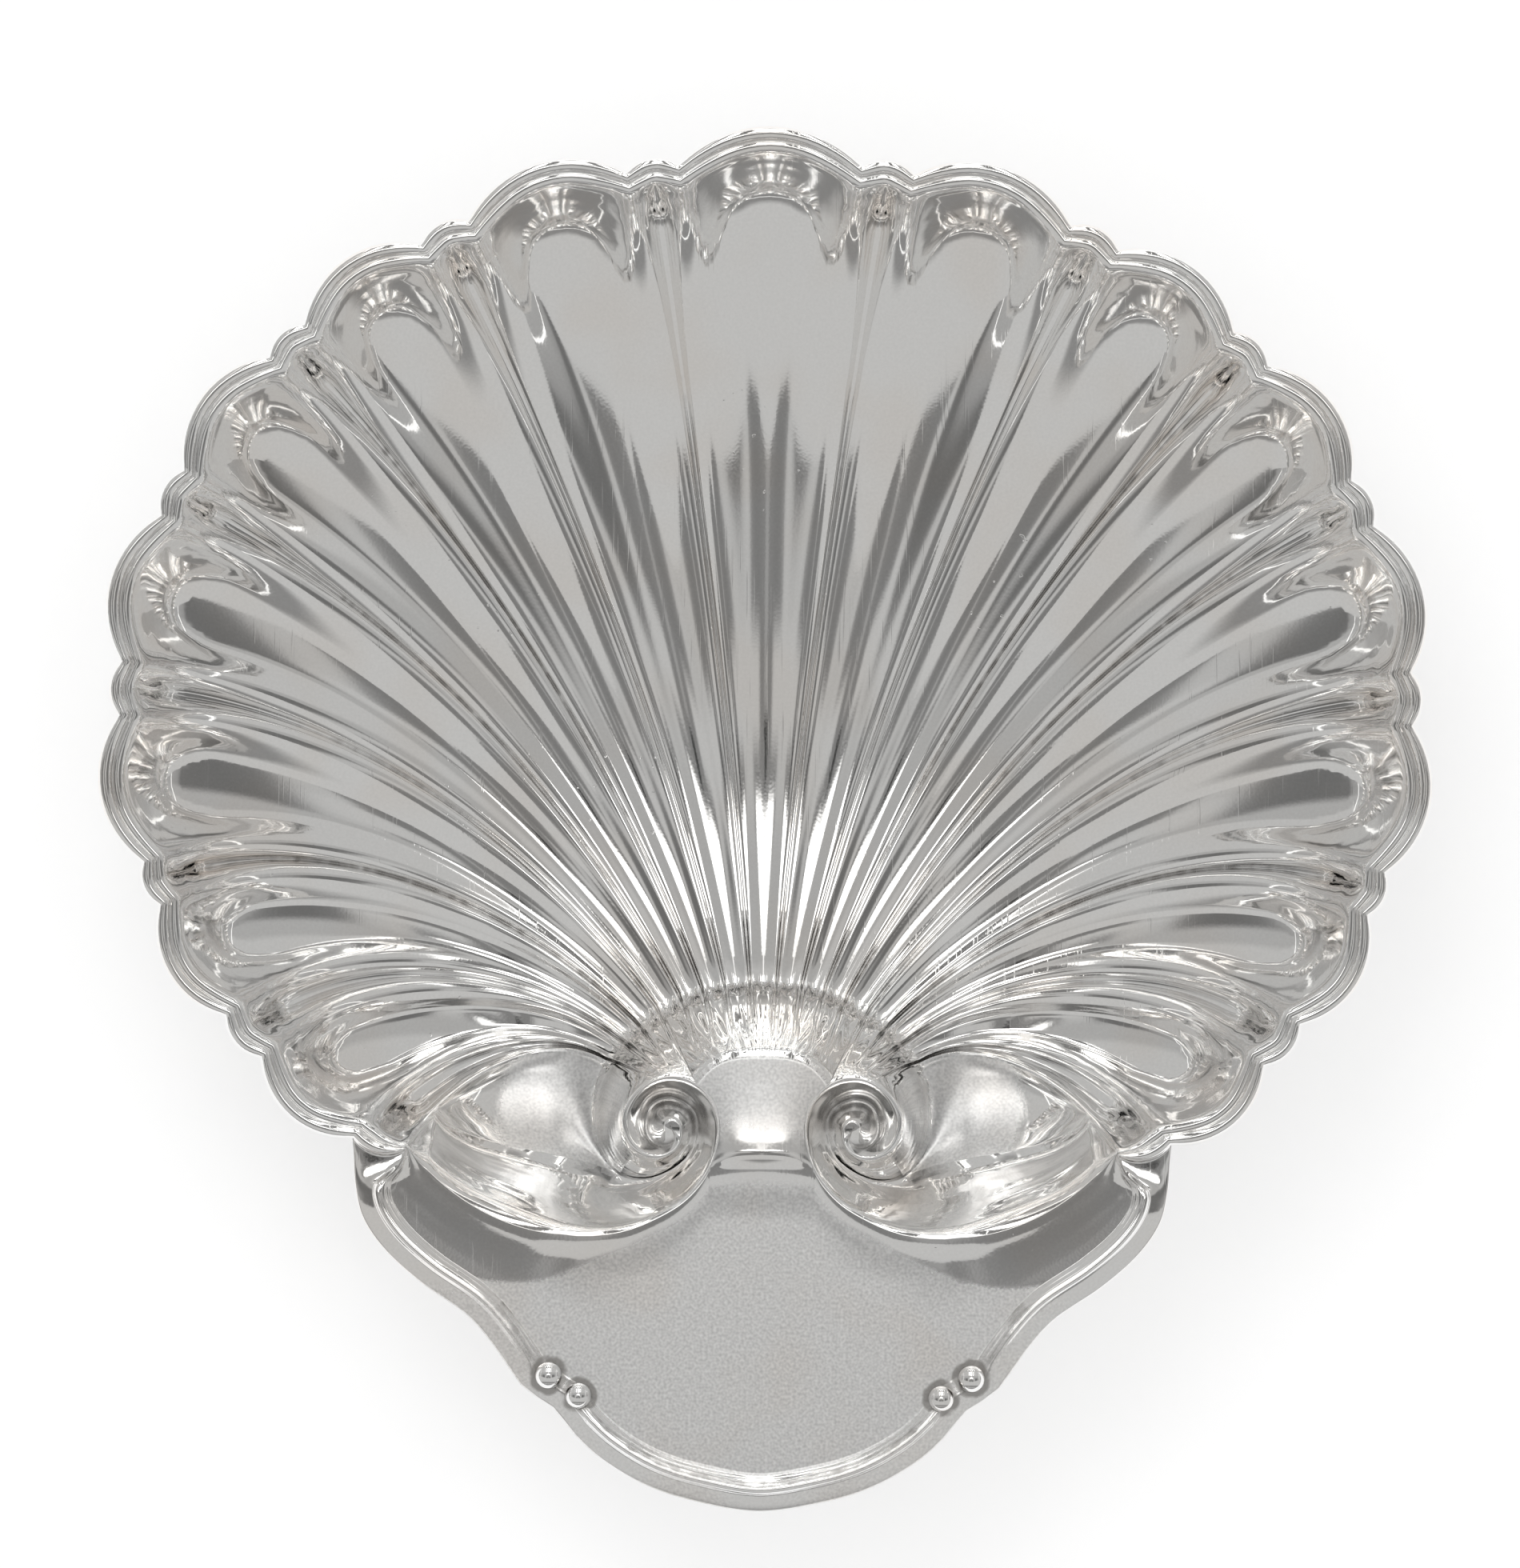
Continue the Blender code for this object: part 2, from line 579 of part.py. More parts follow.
def add_grid(mesh, points):
    """Add a flat grid and bend it onto the given points."""
    columns, rows = points.shape[:2]
    made = bmesh.ops.create_grid(mesh, x_segments=columns - 1, y_segments=rows - 1, size=1.0)
    for vert in made["verts"]:
        c = int(round((vert.co.x + 1.0) / 2.0 * (columns - 1)))
        r = int(round((vert.co.y + 1.0) / 2.0 * (rows - 1)))
        vert.co = points[c, r]


def make_material(name, colour, roughness):
    material = bpy.data.materials.new(name)
    material.use_nodes = True
    shader = material.node_tree.nodes["Principled BSDF"]
    shader.inputs["Base Color"].default_value = (*colour, 1.0)
    shader.inputs["Metallic"].default_value = 1.0
    shader.inputs["Roughness"].default_value = roughness
    return material


dish = bpy.data.collections.new("footed_shell_dish")
bpy.context.scene.collection.children.link(dish)


def thicken(mesh):
    """Close the skin into a sheet: a copy of it, sunk by the metal, and a wall between."""
    mesh.normal_update()
    drop = {}
    for vert in mesh.verts:
        drop[vert.index] = METAL * min(1.0 / max(abs(vert.normal.z), 0.1), 2.0)
    lay = mesh.verts.layers.float.new("drop")
    for vert in mesh.verts:
        vert[lay] = drop[vert.index]
    made = bmesh.ops.extrude_face_region(mesh, geom=mesh.faces[:], use_keep_orig=True)
    for item in made["geom"]:
        if isinstance(item, bmesh.types.BMVert):
            item.co.z -= item[lay]
    mesh.verts.layers.float.remove(mesh.verts.layers.float["drop"])
    bmesh.ops.recalc_face_normals(mesh, faces=mesh.faces[:])


def build_skin():
    """The upper skin of the whole body, lightened where it is plain."""
    mesh = bmesh.new()
    for points in (FAN_GRID, basin_grid(), arch_ribbon(), wall_ribbon(), NOSE_GRID, handle_grid()):
        add_grid(mesh, points)
    bmesh.ops.remove_doubles(mesh, verts=mesh.verts[:], dist=0.00002)
    bmesh.ops.dissolve_degenerate(mesh, edges=mesh.edges[:], dist=0.000001)
    for vert in mesh.verts:
        if abs(vert.co.x) < 0.00002:
            vert.co.x = 0.0
    bmesh.ops.mirror(mesh, geom=mesh.verts[:] + mesh.edges[:] + mesh.faces[:],
                     axis="X", merge_dist=0.000005)
    bmesh.ops.recalc_face_normals(mesh, faces=mesh.faces[:])
    if sum(face.normal.z for face in mesh.faces) < 0.0:
        bmesh.ops.reverse_faces(mesh, faces=mesh.faces[:])
    bmesh.ops.triangulate(mesh, faces=mesh.faces[:])
    return mesh


def lighten(data):
    """Collapse the skin to its share of triangles, evenly on both sides of the mirror plane."""
    holder = bpy.data.objects.new("skin", data)
    dish.objects.link(holder)
    collapse = holder.modifiers.new("collapse", "DECIMATE")
    collapse.ratio = SKIN_TRIANGLES / len(data.polygons)
    collapse.use_symmetry = True
    collapse.symmetry_axis = "X"
    graph = bpy.context.evaluated_depsgraph_get()
    light = bpy.data.meshes.new_from_object(holder.evaluated_get(graph))
    bpy.data.objects.remove(holder)
    return light


def add_object(name, data, material):
    obj = bpy.data.objects.new(name, data)
    data.materials.append(material)
    dish.objects.link(obj)
    return obj


def ball_cutter(name, x, y, size, side):
    """A ball terminal, half sunk in the handle's plate."""
    ball = bmesh.new()
    bmesh.ops.create_uvsphere(ball, u_segments=10, v_segments=6, radius=size / 2.0)
    data = bpy.data.meshes.new(name)
    ball.to_mesh(data)
    ball.free()
    obj = bpy.data.objects.new(name, data)
    obj.location = (side * x, y, -PLATE_DROP + size / 2.0 - METAL * 0.6)
    obj.hide_render = True
    obj.display_type = "WIRE"
    tools.objects.link(obj)
    return obj


# A foot's ball stands on a small flat and narrows to the neck at its waist
BALL_RADIUS = FOOT_BALL / 2.0
BALL_CENTRE = math.sqrt(BALL_RADIUS ** 2 - FOOT_FLAT ** 2)
WAIST = BALL_CENTRE + math.sqrt(BALL_RADIUS ** 2 - FOOT_NECK ** 2)


def foot_profile(top):
    """The turned outline of a foot, top to bottom: pad, stem, ball, ground flat."""
    points = [(0.0, top), (FOOT_PAD, top), (FOOT_PAD, top - PAD_THICKNESS),
              (FOOT_NECK, top - PAD_THICKNESS - FOOT_STEM * 0.6)]
    high = math.asin(FOOT_NECK / BALL_RADIUS)
    low = math.pi - math.asin(FOOT_FLAT / BALL_RADIUS)
    for i in range(12):
        turn = high + (low - high) * i / 12
        points.append((BALL_RADIUS * math.sin(turn), BALL_CENTRE + BALL_RADIUS * math.cos(turn)))
    return points + [(FOOT_FLAT, 0.0), (0.0, 0.0)]


def add_foot(name, x, y):
    """A ball foot under the sheet; its pad stays clear of the metal above by the gap."""
    under = []
    for ring in (0.0, 0.5, 1.0):
        for i in range(16):
            turn = 2.0 * math.pi * i / 16
            spot = Vector((x + ring * FOOT_PAD * math.cos(turn),
                           y + ring * FOOT_PAD * math.sin(turn), -1.0))
            under.append(under_side.ray_cast(spot, Vector((0.0, 0.0, 1.0)))[0].z)
    top = min(under) - FOOT_GAP - ground
    data = bpy.data.meshes.new(name)
    points = foot_profile(top)
    data.from_pydata([(r, 0.0, z) for r, z in points],
                     [(i, i + 1) for i in range(len(points) - 1)], [])
    foot = add_object(name, data, feet_silver)
    foot.location = Vector((x, y, ground)) + middle
    turned = foot.modifiers.new("turned", "SCREW")
    turned.steps = 24
    turned.render_steps = 24
    turned.use_merge_vertices = True
    turned.merge_threshold = 0.00001
    turned.use_smooth_shade = True
    return foot


tools = bpy.data.collections.new("cutters")
bpy.context.scene.collection.children.link(tools)

skin = build_skin()
full = bpy.data.meshes.new("full_skin")
skin.to_mesh(full)
skin.free()
light = lighten(full)
sheet = bmesh.new()
sheet.from_mesh(light)
thicken(sheet)
under_side = BVHTree.FromBMesh(sheet)
body_mesh = bpy.data.meshes.new("dish_body")
sheet.to_mesh(body_mesh)
low_corner = [min(vert.co[i] for vert in sheet.verts) for i in range(3)]
high_corner = [max(vert.co[i] for vert in sheet.verts) for i in range(3)]
sheet.free()

# The feet stand on the ground; the origin is under the middle of the whole dish
ground = -BOWL_DEPTH - METAL - FOOT_GAP - PAD_THICKNESS - FOOT_STEM - WAIST
middle = Vector((0.0, -(low_corner[1] + high_corner[1]) / 2.0, -ground))

body_silver = make_material("polished_silver", (0.74, 0.73, 0.70), 0.06)
feet_silver = make_material("feet_silver", (0.70, 0.69, 0.66), 0.12)

body = add_object("dish_body", body_mesh, body_silver)
body.location = middle
for number, (share_x, share_y, size) in enumerate(BALLS):
    for side, word in ((-1.0, "left"), (1.0, "right")):
        spot_x = CUSPS[-2][0] * share_x
        spot_y = CUSPS[-2][1] - HANDLE_LENGTH * share_y
        cutter = ball_cutter(f"ball_{number}_{word}", spot_x, spot_y, size, side)
        cutter.location += middle
        joined = body.modifiers.new(f"ball_{number}_{word}", "BOOLEAN")
        joined.operation = "UNION"
        joined.object = cutter

add_foot("foot_front", 0.0, FRONT_FOOT_Y)
add_foot("foot_left", -BACK_FOOT_X, BACK_FOOT_Y)
add_foot("foot_right", BACK_FOOT_X, BACK_FOOT_Y)

for obj in dish.objects:
    obj.data.shade_smooth()
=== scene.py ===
# %% [markdown]
# A footed shell dish in silver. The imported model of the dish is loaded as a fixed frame,
# and every piece made here is placed by it. The whole body is one sheet of metal, so its
# look comes from two things: a skin whose curves are exact, because a mirror finish shows
# every facet, and a studio round it that is worth reflecting.

import json
import math

import bmesh
import bpy
import numpy as np
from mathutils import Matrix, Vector

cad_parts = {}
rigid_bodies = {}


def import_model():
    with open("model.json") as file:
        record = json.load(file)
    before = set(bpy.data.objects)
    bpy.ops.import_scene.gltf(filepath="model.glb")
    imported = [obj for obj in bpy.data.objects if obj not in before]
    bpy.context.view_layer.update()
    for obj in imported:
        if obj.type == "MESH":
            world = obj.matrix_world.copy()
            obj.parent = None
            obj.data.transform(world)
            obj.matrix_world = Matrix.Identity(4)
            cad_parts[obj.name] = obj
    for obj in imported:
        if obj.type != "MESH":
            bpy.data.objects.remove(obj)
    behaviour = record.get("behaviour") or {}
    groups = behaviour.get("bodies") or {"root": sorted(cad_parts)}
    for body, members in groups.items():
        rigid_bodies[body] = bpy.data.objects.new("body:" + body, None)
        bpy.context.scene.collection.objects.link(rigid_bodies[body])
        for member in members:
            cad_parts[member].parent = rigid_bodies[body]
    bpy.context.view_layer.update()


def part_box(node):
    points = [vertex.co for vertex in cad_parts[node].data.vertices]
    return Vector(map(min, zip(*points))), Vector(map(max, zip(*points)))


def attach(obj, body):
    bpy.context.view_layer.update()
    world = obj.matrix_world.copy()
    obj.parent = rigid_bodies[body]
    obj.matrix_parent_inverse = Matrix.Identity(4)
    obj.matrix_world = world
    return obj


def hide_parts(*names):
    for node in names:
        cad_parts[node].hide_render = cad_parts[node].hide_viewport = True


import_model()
body_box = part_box("dish_body")


def deselect():
    """Nothing stays selected, because an operator acts on all that is."""
    if bpy.context.object and bpy.context.object.mode != "OBJECT":
        bpy.ops.object.mode_set(mode="OBJECT")
    bpy.ops.object.select_all(action="DESELECT")


# %% [markdown]
# The photograph looks straight down on the dish. The camera stands high and uses a long
# lens, so that the rim and the floor keep the same scale, as in a shop's product picture.
# It is turned by half a degree, because the dish lies turned by that much in the picture.

# %% Camera
IMAGE_HEIGHT = 1960
METRES_PER_PIXEL = 0.0001525
SENSOR_HEIGHT = 36.0
CAMERA_HEIGHT = 3.0
PICTURE_MIDDLE = (-0.00097, 0.00667)
PICTURE_TURN = 0.5

bpy.ops.object.camera_add(location=(PICTURE_MIDDLE[0], PICTURE_MIDDLE[1],
                                    body_box[1][2] + CAMERA_HEIGHT),
                          rotation=(0.0, 0.0, math.radians(PICTURE_TURN)))
camera = bpy.context.object
camera.name = "camera"
camera.data.sensor_fit = "VERTICAL"
camera.data.sensor_height = SENSOR_HEIGHT
camera.data.lens = SENSOR_HEIGHT * CAMERA_HEIGHT / (IMAGE_HEIGHT * METRES_PER_PIXEL)
camera.data.clip_end = 20.0
bpy.context.scene.camera = camera
print("lens", round(camera.data.lens, 1), "mm at", CAMERA_HEIGHT, "m")

# %% [markdown]
# The rim of the shell is a row of lobes, a wide one and a narrow one in turn, stepped off
# along an oval. Each lobe is an arc over its two cusps. These few sizes give the whole
# outline, so the lobes stay even, as they are where a die has stamped them.

# %% Rim of the shell
RIM_HALF_WIDTH = 0.1238
RIM_HALF_LENGTH = 0.1057
RIM_BAND = 0.0046
RIM_BEAD = 0.0028
RIM_DROP = 0.0019
FIRST_LOBE = 0.0351
LARGE_BULGE = 0.21
SMALL_BULGE = 0.19
LAST_LOBE_TUCK = 0.0035
LOBE_SCALE = 1.004
CUSP_PULL = 0.9
CUSP_REACH = 0.25
LAST_CUSP_PULL = 0.26
LAST_CUSP_REACH = 0.8
LOBES = (1.0, 0.287, 0.897, 0.288, 0.771, 0.26, 0.772, 0.275, 0.825,
         0.293, 0.812, 0.25, 0.70, 0.298, 0.664, 0.259)
LAST = len(LOBES)
HINGE_Y = -0.0736
FAN_POINT = 0.0103
FAN = np.array([0.0, HINGE_Y - FAN_POINT])


def running_length(line):
    return np.concatenate([[0.0], np.cumsum(np.linalg.norm(np.diff(line, axis=0), axis=1))])


def unit(vectors):
    return vectors / np.linalg.norm(vectors, axis=-1, keepdims=True)


def step(value):
    """Ease from 0 to 1 with a flat start and end."""
    value = np.clip(value, 0.0, 1.0)
    return value * value * (3.0 - 2.0 * value)


def rim_cusps():
    angle = np.linspace(0.0, 3.0, 6001)
    oval = np.stack([RIM_HALF_WIDTH * np.sin(angle), RIM_HALF_LENGTH * np.cos(angle)], axis=1)
    run = running_length(oval)
    widths = FIRST_LOBE * np.array(LOBES) * LOBE_SCALE
    places = np.cumsum(widths) - widths[0] / 2.0
    cusps = np.stack([np.interp(places, run, oval[:, 0]), np.interp(places, run, oval[:, 1])],
                     axis=1)
    cusps[-1] *= 1.0 - LAST_LOBE_TUCK / np.linalg.norm(cusps[-1])
    return cusps


CUSPS = rim_cusps()
RIM_SPAN = math.atan2(CUSPS[-1][0], CUSPS[-1][1] - FAN[1])


def lobe_ends(k):
    """The two cusps of lobe k; lobe 0 lies across the mirror plane."""
    end = CUSPS[k]
    start = CUSPS[k - 1] if k else np.array([-end[0], end[1]])
    return start, end


def oval_normal(points):
    return unit(points / np.array([RIM_HALF_WIDTH ** 2, RIM_HALF_LENGTH ** 2]))


def rim_lobe(k, w):
    """Outer edge of lobe k at shares w, and the way inwards across the rim's band."""
    start, end = lobe_ends(k)
    chord = np.linalg.norm(end - start)
    along = (end - start) / chord
    out = np.array([-along[1], along[0]])
    half = 2.0 * math.atan(2.0 * (SMALL_BULGE if k % 2 else LARGE_BULGE))
    radius = chord / (2.0 * math.sin(half))
    turn = ((2.0 * w - 1.0) * half)[:, None]
    middle = (start + end) / 2.0
    edge = middle + out * (np.cos(turn) - math.cos(half)) * radius + along * np.sin(turn) * radius
    normal = out * np.cos(turn) + along * np.sin(turn)
    pull, run = CUSP_PULL, CUSP_REACH
    if k == LAST - 1:
        pull, run = LAST_CUSP_PULL, LAST_CUSP_REACH
    at_start = oval_normal(start) * CUSP_PULL
    at_end = oval_normal(end) * pull
    near_start = (np.clip(1.0 - w / CUSP_REACH, 0.0, 1.0) ** 2)[:, None]
    near_end = (np.clip(1.0 - (1.0 - w) / run, 0.0, 1.0) ** 2)[:, None]
    inward = -normal * (1.0 - near_start - near_end) - at_start * near_start - at_end * near_end
    return edge, inward


print("rim:", LAST, "lobes a side, last cusp at", CUSPS[-1].round(4))

# %% [markdown]
# The flutes run from the foot of the hinge arch to the rim, like the ribs of a fan. A
# flow line leaves the arch pointing away from the fan's point and meets the rim squarely,
# so it is bowed where it has to turn. Height comes last: the floor dips and rises along a
# flow line, and across it a flute has a round foot, a slope and a crest at each ridge.

# %% Flow lines and heights of the flutes
ARCH_HALF_WIDTH = 0.0317
ARCH_HEIGHT = 0.0229
LAST_RIDGE_ANGLE = 61.0
BOWL_DEPTH = 0.033
FAR_FLOOR = 0.014
HINGE_FLOOR = 0.029
LOWEST_AT = 0.30
WALL_RUN = 0.0088
RIDGE_AT_HINGE = 0.0004
RIDGE_MIDDLE = 0.0030
RIDGE_FADE = 0.045
WALL_FADE = 0.0085
BAND_LEVEL = -0.00095
GROOVE_LEVEL = -0.00125
STRIP_LEVEL = -0.0007
STRIP_EASE = 0.0006
SPREAD_RUN = 0.075
END_CREST = 0.93
# Of a flute: the flat share of its half width at the rim, what that loses on the way in,
# its wall's share of WALL_RUN, and how far up the wall its crest begins
LARGE_FLUTE = (0.66, 0.60, 1.0, 0.80)
SMALL_FLUTE = (0.42, 0.36, 0.8, 0.62)


def wall_curve(q, foot, crest):
    """Rise from 0 to 1: a round foot up to foot, a straight slope, a round crest."""
    slope = 2.0 / (1.0 + crest - foot)
    low = slope * q * q / (2.0 * foot)
    middle = slope * (q - foot / 2.0)
    high = 1.0 - slope * (1.0 - q) ** 2 / (2.0 * (1.0 - crest))
    return np.where(q < foot, low, np.where(q < crest, middle, high))


def hinge_angle(k, w):
    """Angle at the fan's point where the flow line of lobe k, share w, leaves the arch."""
    start, end = lobe_ends(k)
    a0 = math.atan2(start[0], start[1] - FAN[1])
    a1 = math.atan2(end[0], end[1] - FAN[1])
    return (a0 + (a1 - a0) * w) * math.radians(LAST_RIDGE_ANGLE) / RIM_SPAN


def arch_point(angle):
    """Foot of the hinge arch on the ray that leaves the fan's point at this angle."""
    dx = np.sin(angle)
    dy = np.cos(angle)
    a = (dx / ARCH_HALF_WIDTH) ** 2 + (dy / ARCH_HEIGHT) ** 2
    b = -2.0 * FAN_POINT * dy / ARCH_HEIGHT ** 2
    c = (FAN_POINT / ARCH_HEIGHT) ** 2 - 1.0
    reach = (-b + np.sqrt(b * b - 4.0 * a * c)) / (2.0 * a)
    return FAN + np.stack([reach * dx, reach * dy], axis=-1)


def hermite(start, end, leave, arrive, t):
    """A curve from start to end with the given pulls at its ends."""
    t = t[:, None]
    return ((1 + 2 * t) * (1 - t) ** 2 * start + t * (1 - t) ** 2 * leave
            + t * t * (3 - 2 * t) * end + t * t * (t - 1) * arrive)


def flow(k, w, t):
    """Plan position on the flow lines of lobe k: w across, t from the arch to the band."""
    edge, inward = rim_lobe(k, w)
    end = edge + inward * RIM_BAND
    angle = hinge_angle(k, w)
    start = arch_point(angle)
    leave = np.stack([np.sin(angle), np.cos(angle)], axis=-1)
    length = np.linalg.norm(end - start, axis=-1, keepdims=True)
    return hermite(start, end, length * leave, length * oval_normal(edge), t), length[:, 0]


def floor_level(t):
    """Height of the bowl's floor along a flow line."""
    far = -BOWL_DEPTH + (BOWL_DEPTH - FAR_FLOOR) * ((t - LOWEST_AT) / (1.0 - LOWEST_AT)) ** 2
    near = -BOWL_DEPTH + (BOWL_DEPTH - HINGE_FLOOR) * ((LOWEST_AT - t) / LOWEST_AT) ** 2
    return np.where(t > LOWEST_AT, far, near)


def ridge_height(inset):
    """Height of a ridge over the floor, at this distance in from the rim's band."""
    low = RIDGE_AT_HINGE + RIDGE_MIDDLE * np.exp(-inset / RIDGE_FADE)
    rise = FAR_FLOOR + BAND_LEVEL - RIDGE_AT_HINGE - RIDGE_MIDDLE
    return low + rise * np.exp(-(inset / WALL_FADE) ** 1.15)


def fan_height(k, w, t, width, length):
    """Height of lobe k's flute: a floor, walls along both ridges and a round end."""
    side = (2.0 * w - 1.0) * width / 2.0
    inset = (1.0 - t) * length
    flat, loss, run, crest_at = SMALL_FLUTE if k % 2 else LARGE_FLUTE
    spread = step(inset / SPREAD_RUN)
    inner = width / 2.0 * (flat - loss * spread)
    reach = WALL_RUN * run + inner
    below = np.maximum(reach - inset, 0.0)
    rho = np.sqrt(side ** 2 + below ** 2)
    safe = np.maximum(rho, 1e-9)
    to_side = (width / 2.0) / np.maximum(np.abs(side) / safe, 1e-9)
    to_end = reach / np.maximum(below / safe, 1e-9)
    border = np.minimum(to_side, to_end)
    inset_there = np.maximum(reach - border * below / safe, 0.0)
    top = ridge_height(np.where(below > 0.0, inset_there, inset))
    q = np.clip((rho - inner) / np.maximum(border - inner, 1e-9), 0.0, 1.0)
    at_end = np.clip(to_side / np.maximum(to_end, 1e-9) - 0.9, 0.0, 0.2) * 5.0
    at_end = np.where(below > 0.0, at_end, 0.0)
    crest = crest_at * (1.0 - at_end) + END_CREST * at_end
    return floor_level(t) + top * wall_curve(q, 0.30 + 0.30 * spread, crest)


def rim_height(share):
    """Height across the band: a round bead outside, a groove and a flat inner strip."""
    offset = share * RIM_BAND
    radius = RIM_BEAD / 2.0
    bead = np.sqrt(np.maximum(radius ** 2 - (offset - radius) ** 2, 0.0)) - radius
    bead = np.where(offset < radius, bead * RIM_DROP / radius, bead)
    strip = GROOVE_LEVEL + (STRIP_LEVEL - GROOVE_LEVEL) * step((offset - RIM_BEAD) / STRIP_EASE)
    inner_edge = step((offset - RIM_BAND + STRIP_EASE) / STRIP_EASE)
    strip = strip + (BAND_LEVEL - STRIP_LEVEL) * inner_edge
    lowest = np.where(offset < radius, -1.0, GROOVE_LEVEL)
    return np.where(offset < RIM_BEAD, np.maximum(bead, lowest), strip)


# %% [markdown]
# The fan is one grid of points: a row for each flow line, and along it the stations from
# the arch to the rim. More lines run where a flute bends sharply, near its ridges.

# %% Grid of the fan
LARGE_COLUMNS = 20
SMALL_COLUMNS = 12
RIM_ROWS = 16
FLOOR_ROWS = 50
COLUMN_BUNCHING = 0.35
ROW_BUNCHING = 1.35
ROWS_T = 1.0 - (1.0 - np.linspace(0.0, 1.0, FLOOR_ROWS + 1)) ** ROW_BUNCHING
ROWS_R = np.linspace(1.0, 0.0, RIM_ROWS + 1)[1:]


def flute_columns():
    """Lobe number and share of every column from the mirror plane to the last ridge."""
    columns = []
    for k in range(LAST):
        count = SMALL_COLUMNS if k % 2 else LARGE_COLUMNS
        for i in range(count):
            share = i / count
            if k or share >= 0.5:
                shift = COLUMN_BUNCHING * math.sin(2.0 * math.pi * share) / (2.0 * math.pi)
                columns.append((k, share - shift))
    columns.append((LAST - 1, 1.0))
    return columns


COLUMNS = flute_columns()


def fan_grid():
    grid = np.zeros((len(COLUMNS), FLOOR_ROWS + 1 + RIM_ROWS, 3))
    t = ROWS_T
    for c, (k, w) in enumerate(COLUMNS):
        shares = np.full_like(t, w)
        place, length = flow(k, shares, t)
        right = flow(k, np.ones_like(t), t)[0]
        left = right * (-1.0, 1.0) if k == 0 else flow(k - 1, np.ones_like(t), t)[0]
        width = np.linalg.norm(right - left, axis=1)
        grid[c, :len(t), :2] = place
        grid[c, :len(t), 2] = fan_height(k, shares, t, width, length)
        edge, inward = rim_lobe(k, np.full_like(ROWS_R, w))
        grid[c, len(t):, :2] = edge + inward * (ROWS_R * RIM_BAND)[:, None]
        grid[c, len(t):, 2] = rim_height(ROWS_R)
    return grid


FAN_GRID = fan_grid()
CORNER = FAN_GRID[-1, FLOOR_ROWS]
RIDGE = FAN_GRID[-1, :FLOOR_ROWS + 1]
print("fan:", FAN_GRID.shape[0], "by", FAN_GRID.shape[1], "points")

# %% [markdown]
# At the hinge the wall of the arch rolls up into a scroll on each side, as a ribbon of
# paper would. Two lines carry it, its upper edge and its foot. Both are drawn round the
# scroll's centre: a distance for each angle, read through a smooth curve, that keeps
# turning until it reaches the centre.

# %% Lines of the scroll
SCROLL_X = 0.0176
SCROLL_DROP = 0.0057
SCROLL_SIZE = 0.0097
NOSE_LEVEL = 0.0008
SCROLL_FLOOR = 0.0065
CENTRE_DROP = 0.0016
EDGE_START = -135.0
NOSE_ANGLE = 60.0
BASIN_ANGLE = 225.0
EDGE_ANGLES = (-135, -121, -100, -77, -47, -29, 5, 28, 60, 92, 130, 168, 205, 240, 280,
               317, 400, 500, 680)
EDGE_RADII = (2.98, 2.46, 1.83, 1.44, 1.14, 1.03, 0.99, 1.0, 1.0, 1.0, 0.94, 0.92, 0.83,
              0.67, 0.46, 0.29, 0.17, 0.09, 0.0)
FOOT_ANGLES = (173, 205, 225, 242, 266, 296, 332, 395, 427, 453, 486, 518, 565, 609, 655, 680)
FOOT_RADII = (1.55, 1.49, 1.44, 1.27, 0.96, 0.73, 0.57, 0.53, 0.53, 0.55, 0.56, 0.50, 0.45,
              0.39, 0.20, 0.0)
FOOT_DEPTHS = (1.0, 0.98, 0.93, 0.80, 0.52, 0.30, 0.16, 0.08, 0.05, 0.0)
FOOT_DEPTH_ANGLES = (133, 180, 225, 245, 275, 305, 340, 400, 500, 680)
SCROLL = np.array([SCROLL_X, HINGE_Y - SCROLL_DROP])
CENTRE_ANGLE = 668.0
HINGE_END = arch_point(np.array([math.radians(LAST_RIDGE_ANGLE)]))[0]
HINGE_END_ANGLE = math.degrees(math.atan2(HINGE_END[1] - SCROLL[1], SCROLL[0] - HINGE_END[0]))


def smooth_through(knots, values, at):
    """A smooth curve through listed knots, read at the given places."""
    knots = np.array(knots, float)
    values = np.array(values, float)
    slopes = np.gradient(values, knots)
    at = np.clip(at, knots[0], knots[-1])
    i = np.clip(np.searchsorted(knots, at, side="right") - 1, 0, len(knots) - 2)
    width = knots[i + 1] - knots[i]
    t = (at - knots[i]) / width
    return ((1 + 2 * t) * (1 - t) ** 2 * values[i] + t * (1 - t) ** 2 * width * slopes[i]
            + t * t * (3 - 2 * t) * values[i + 1] + t * t * (t - 1) * width * slopes[i + 1])


def polar(angle, radius):
    turn = np.radians(angle)
    return SCROLL + np.stack([-radius * np.cos(turn), radius * np.sin(turn)], axis=-1)


def edge_line(angle):
    """Upper edge of the scroll, from behind the basin to the scroll's centre."""
    radius = smooth_through(EDGE_ANGLES, EDGE_RADII, angle) * SCROLL_SIZE
    height = -NOSE_LEVEL - CENTRE_DROP * step((angle - NOSE_ANGLE) / 300.0)
    return np.column_stack([polar(angle, radius), height])


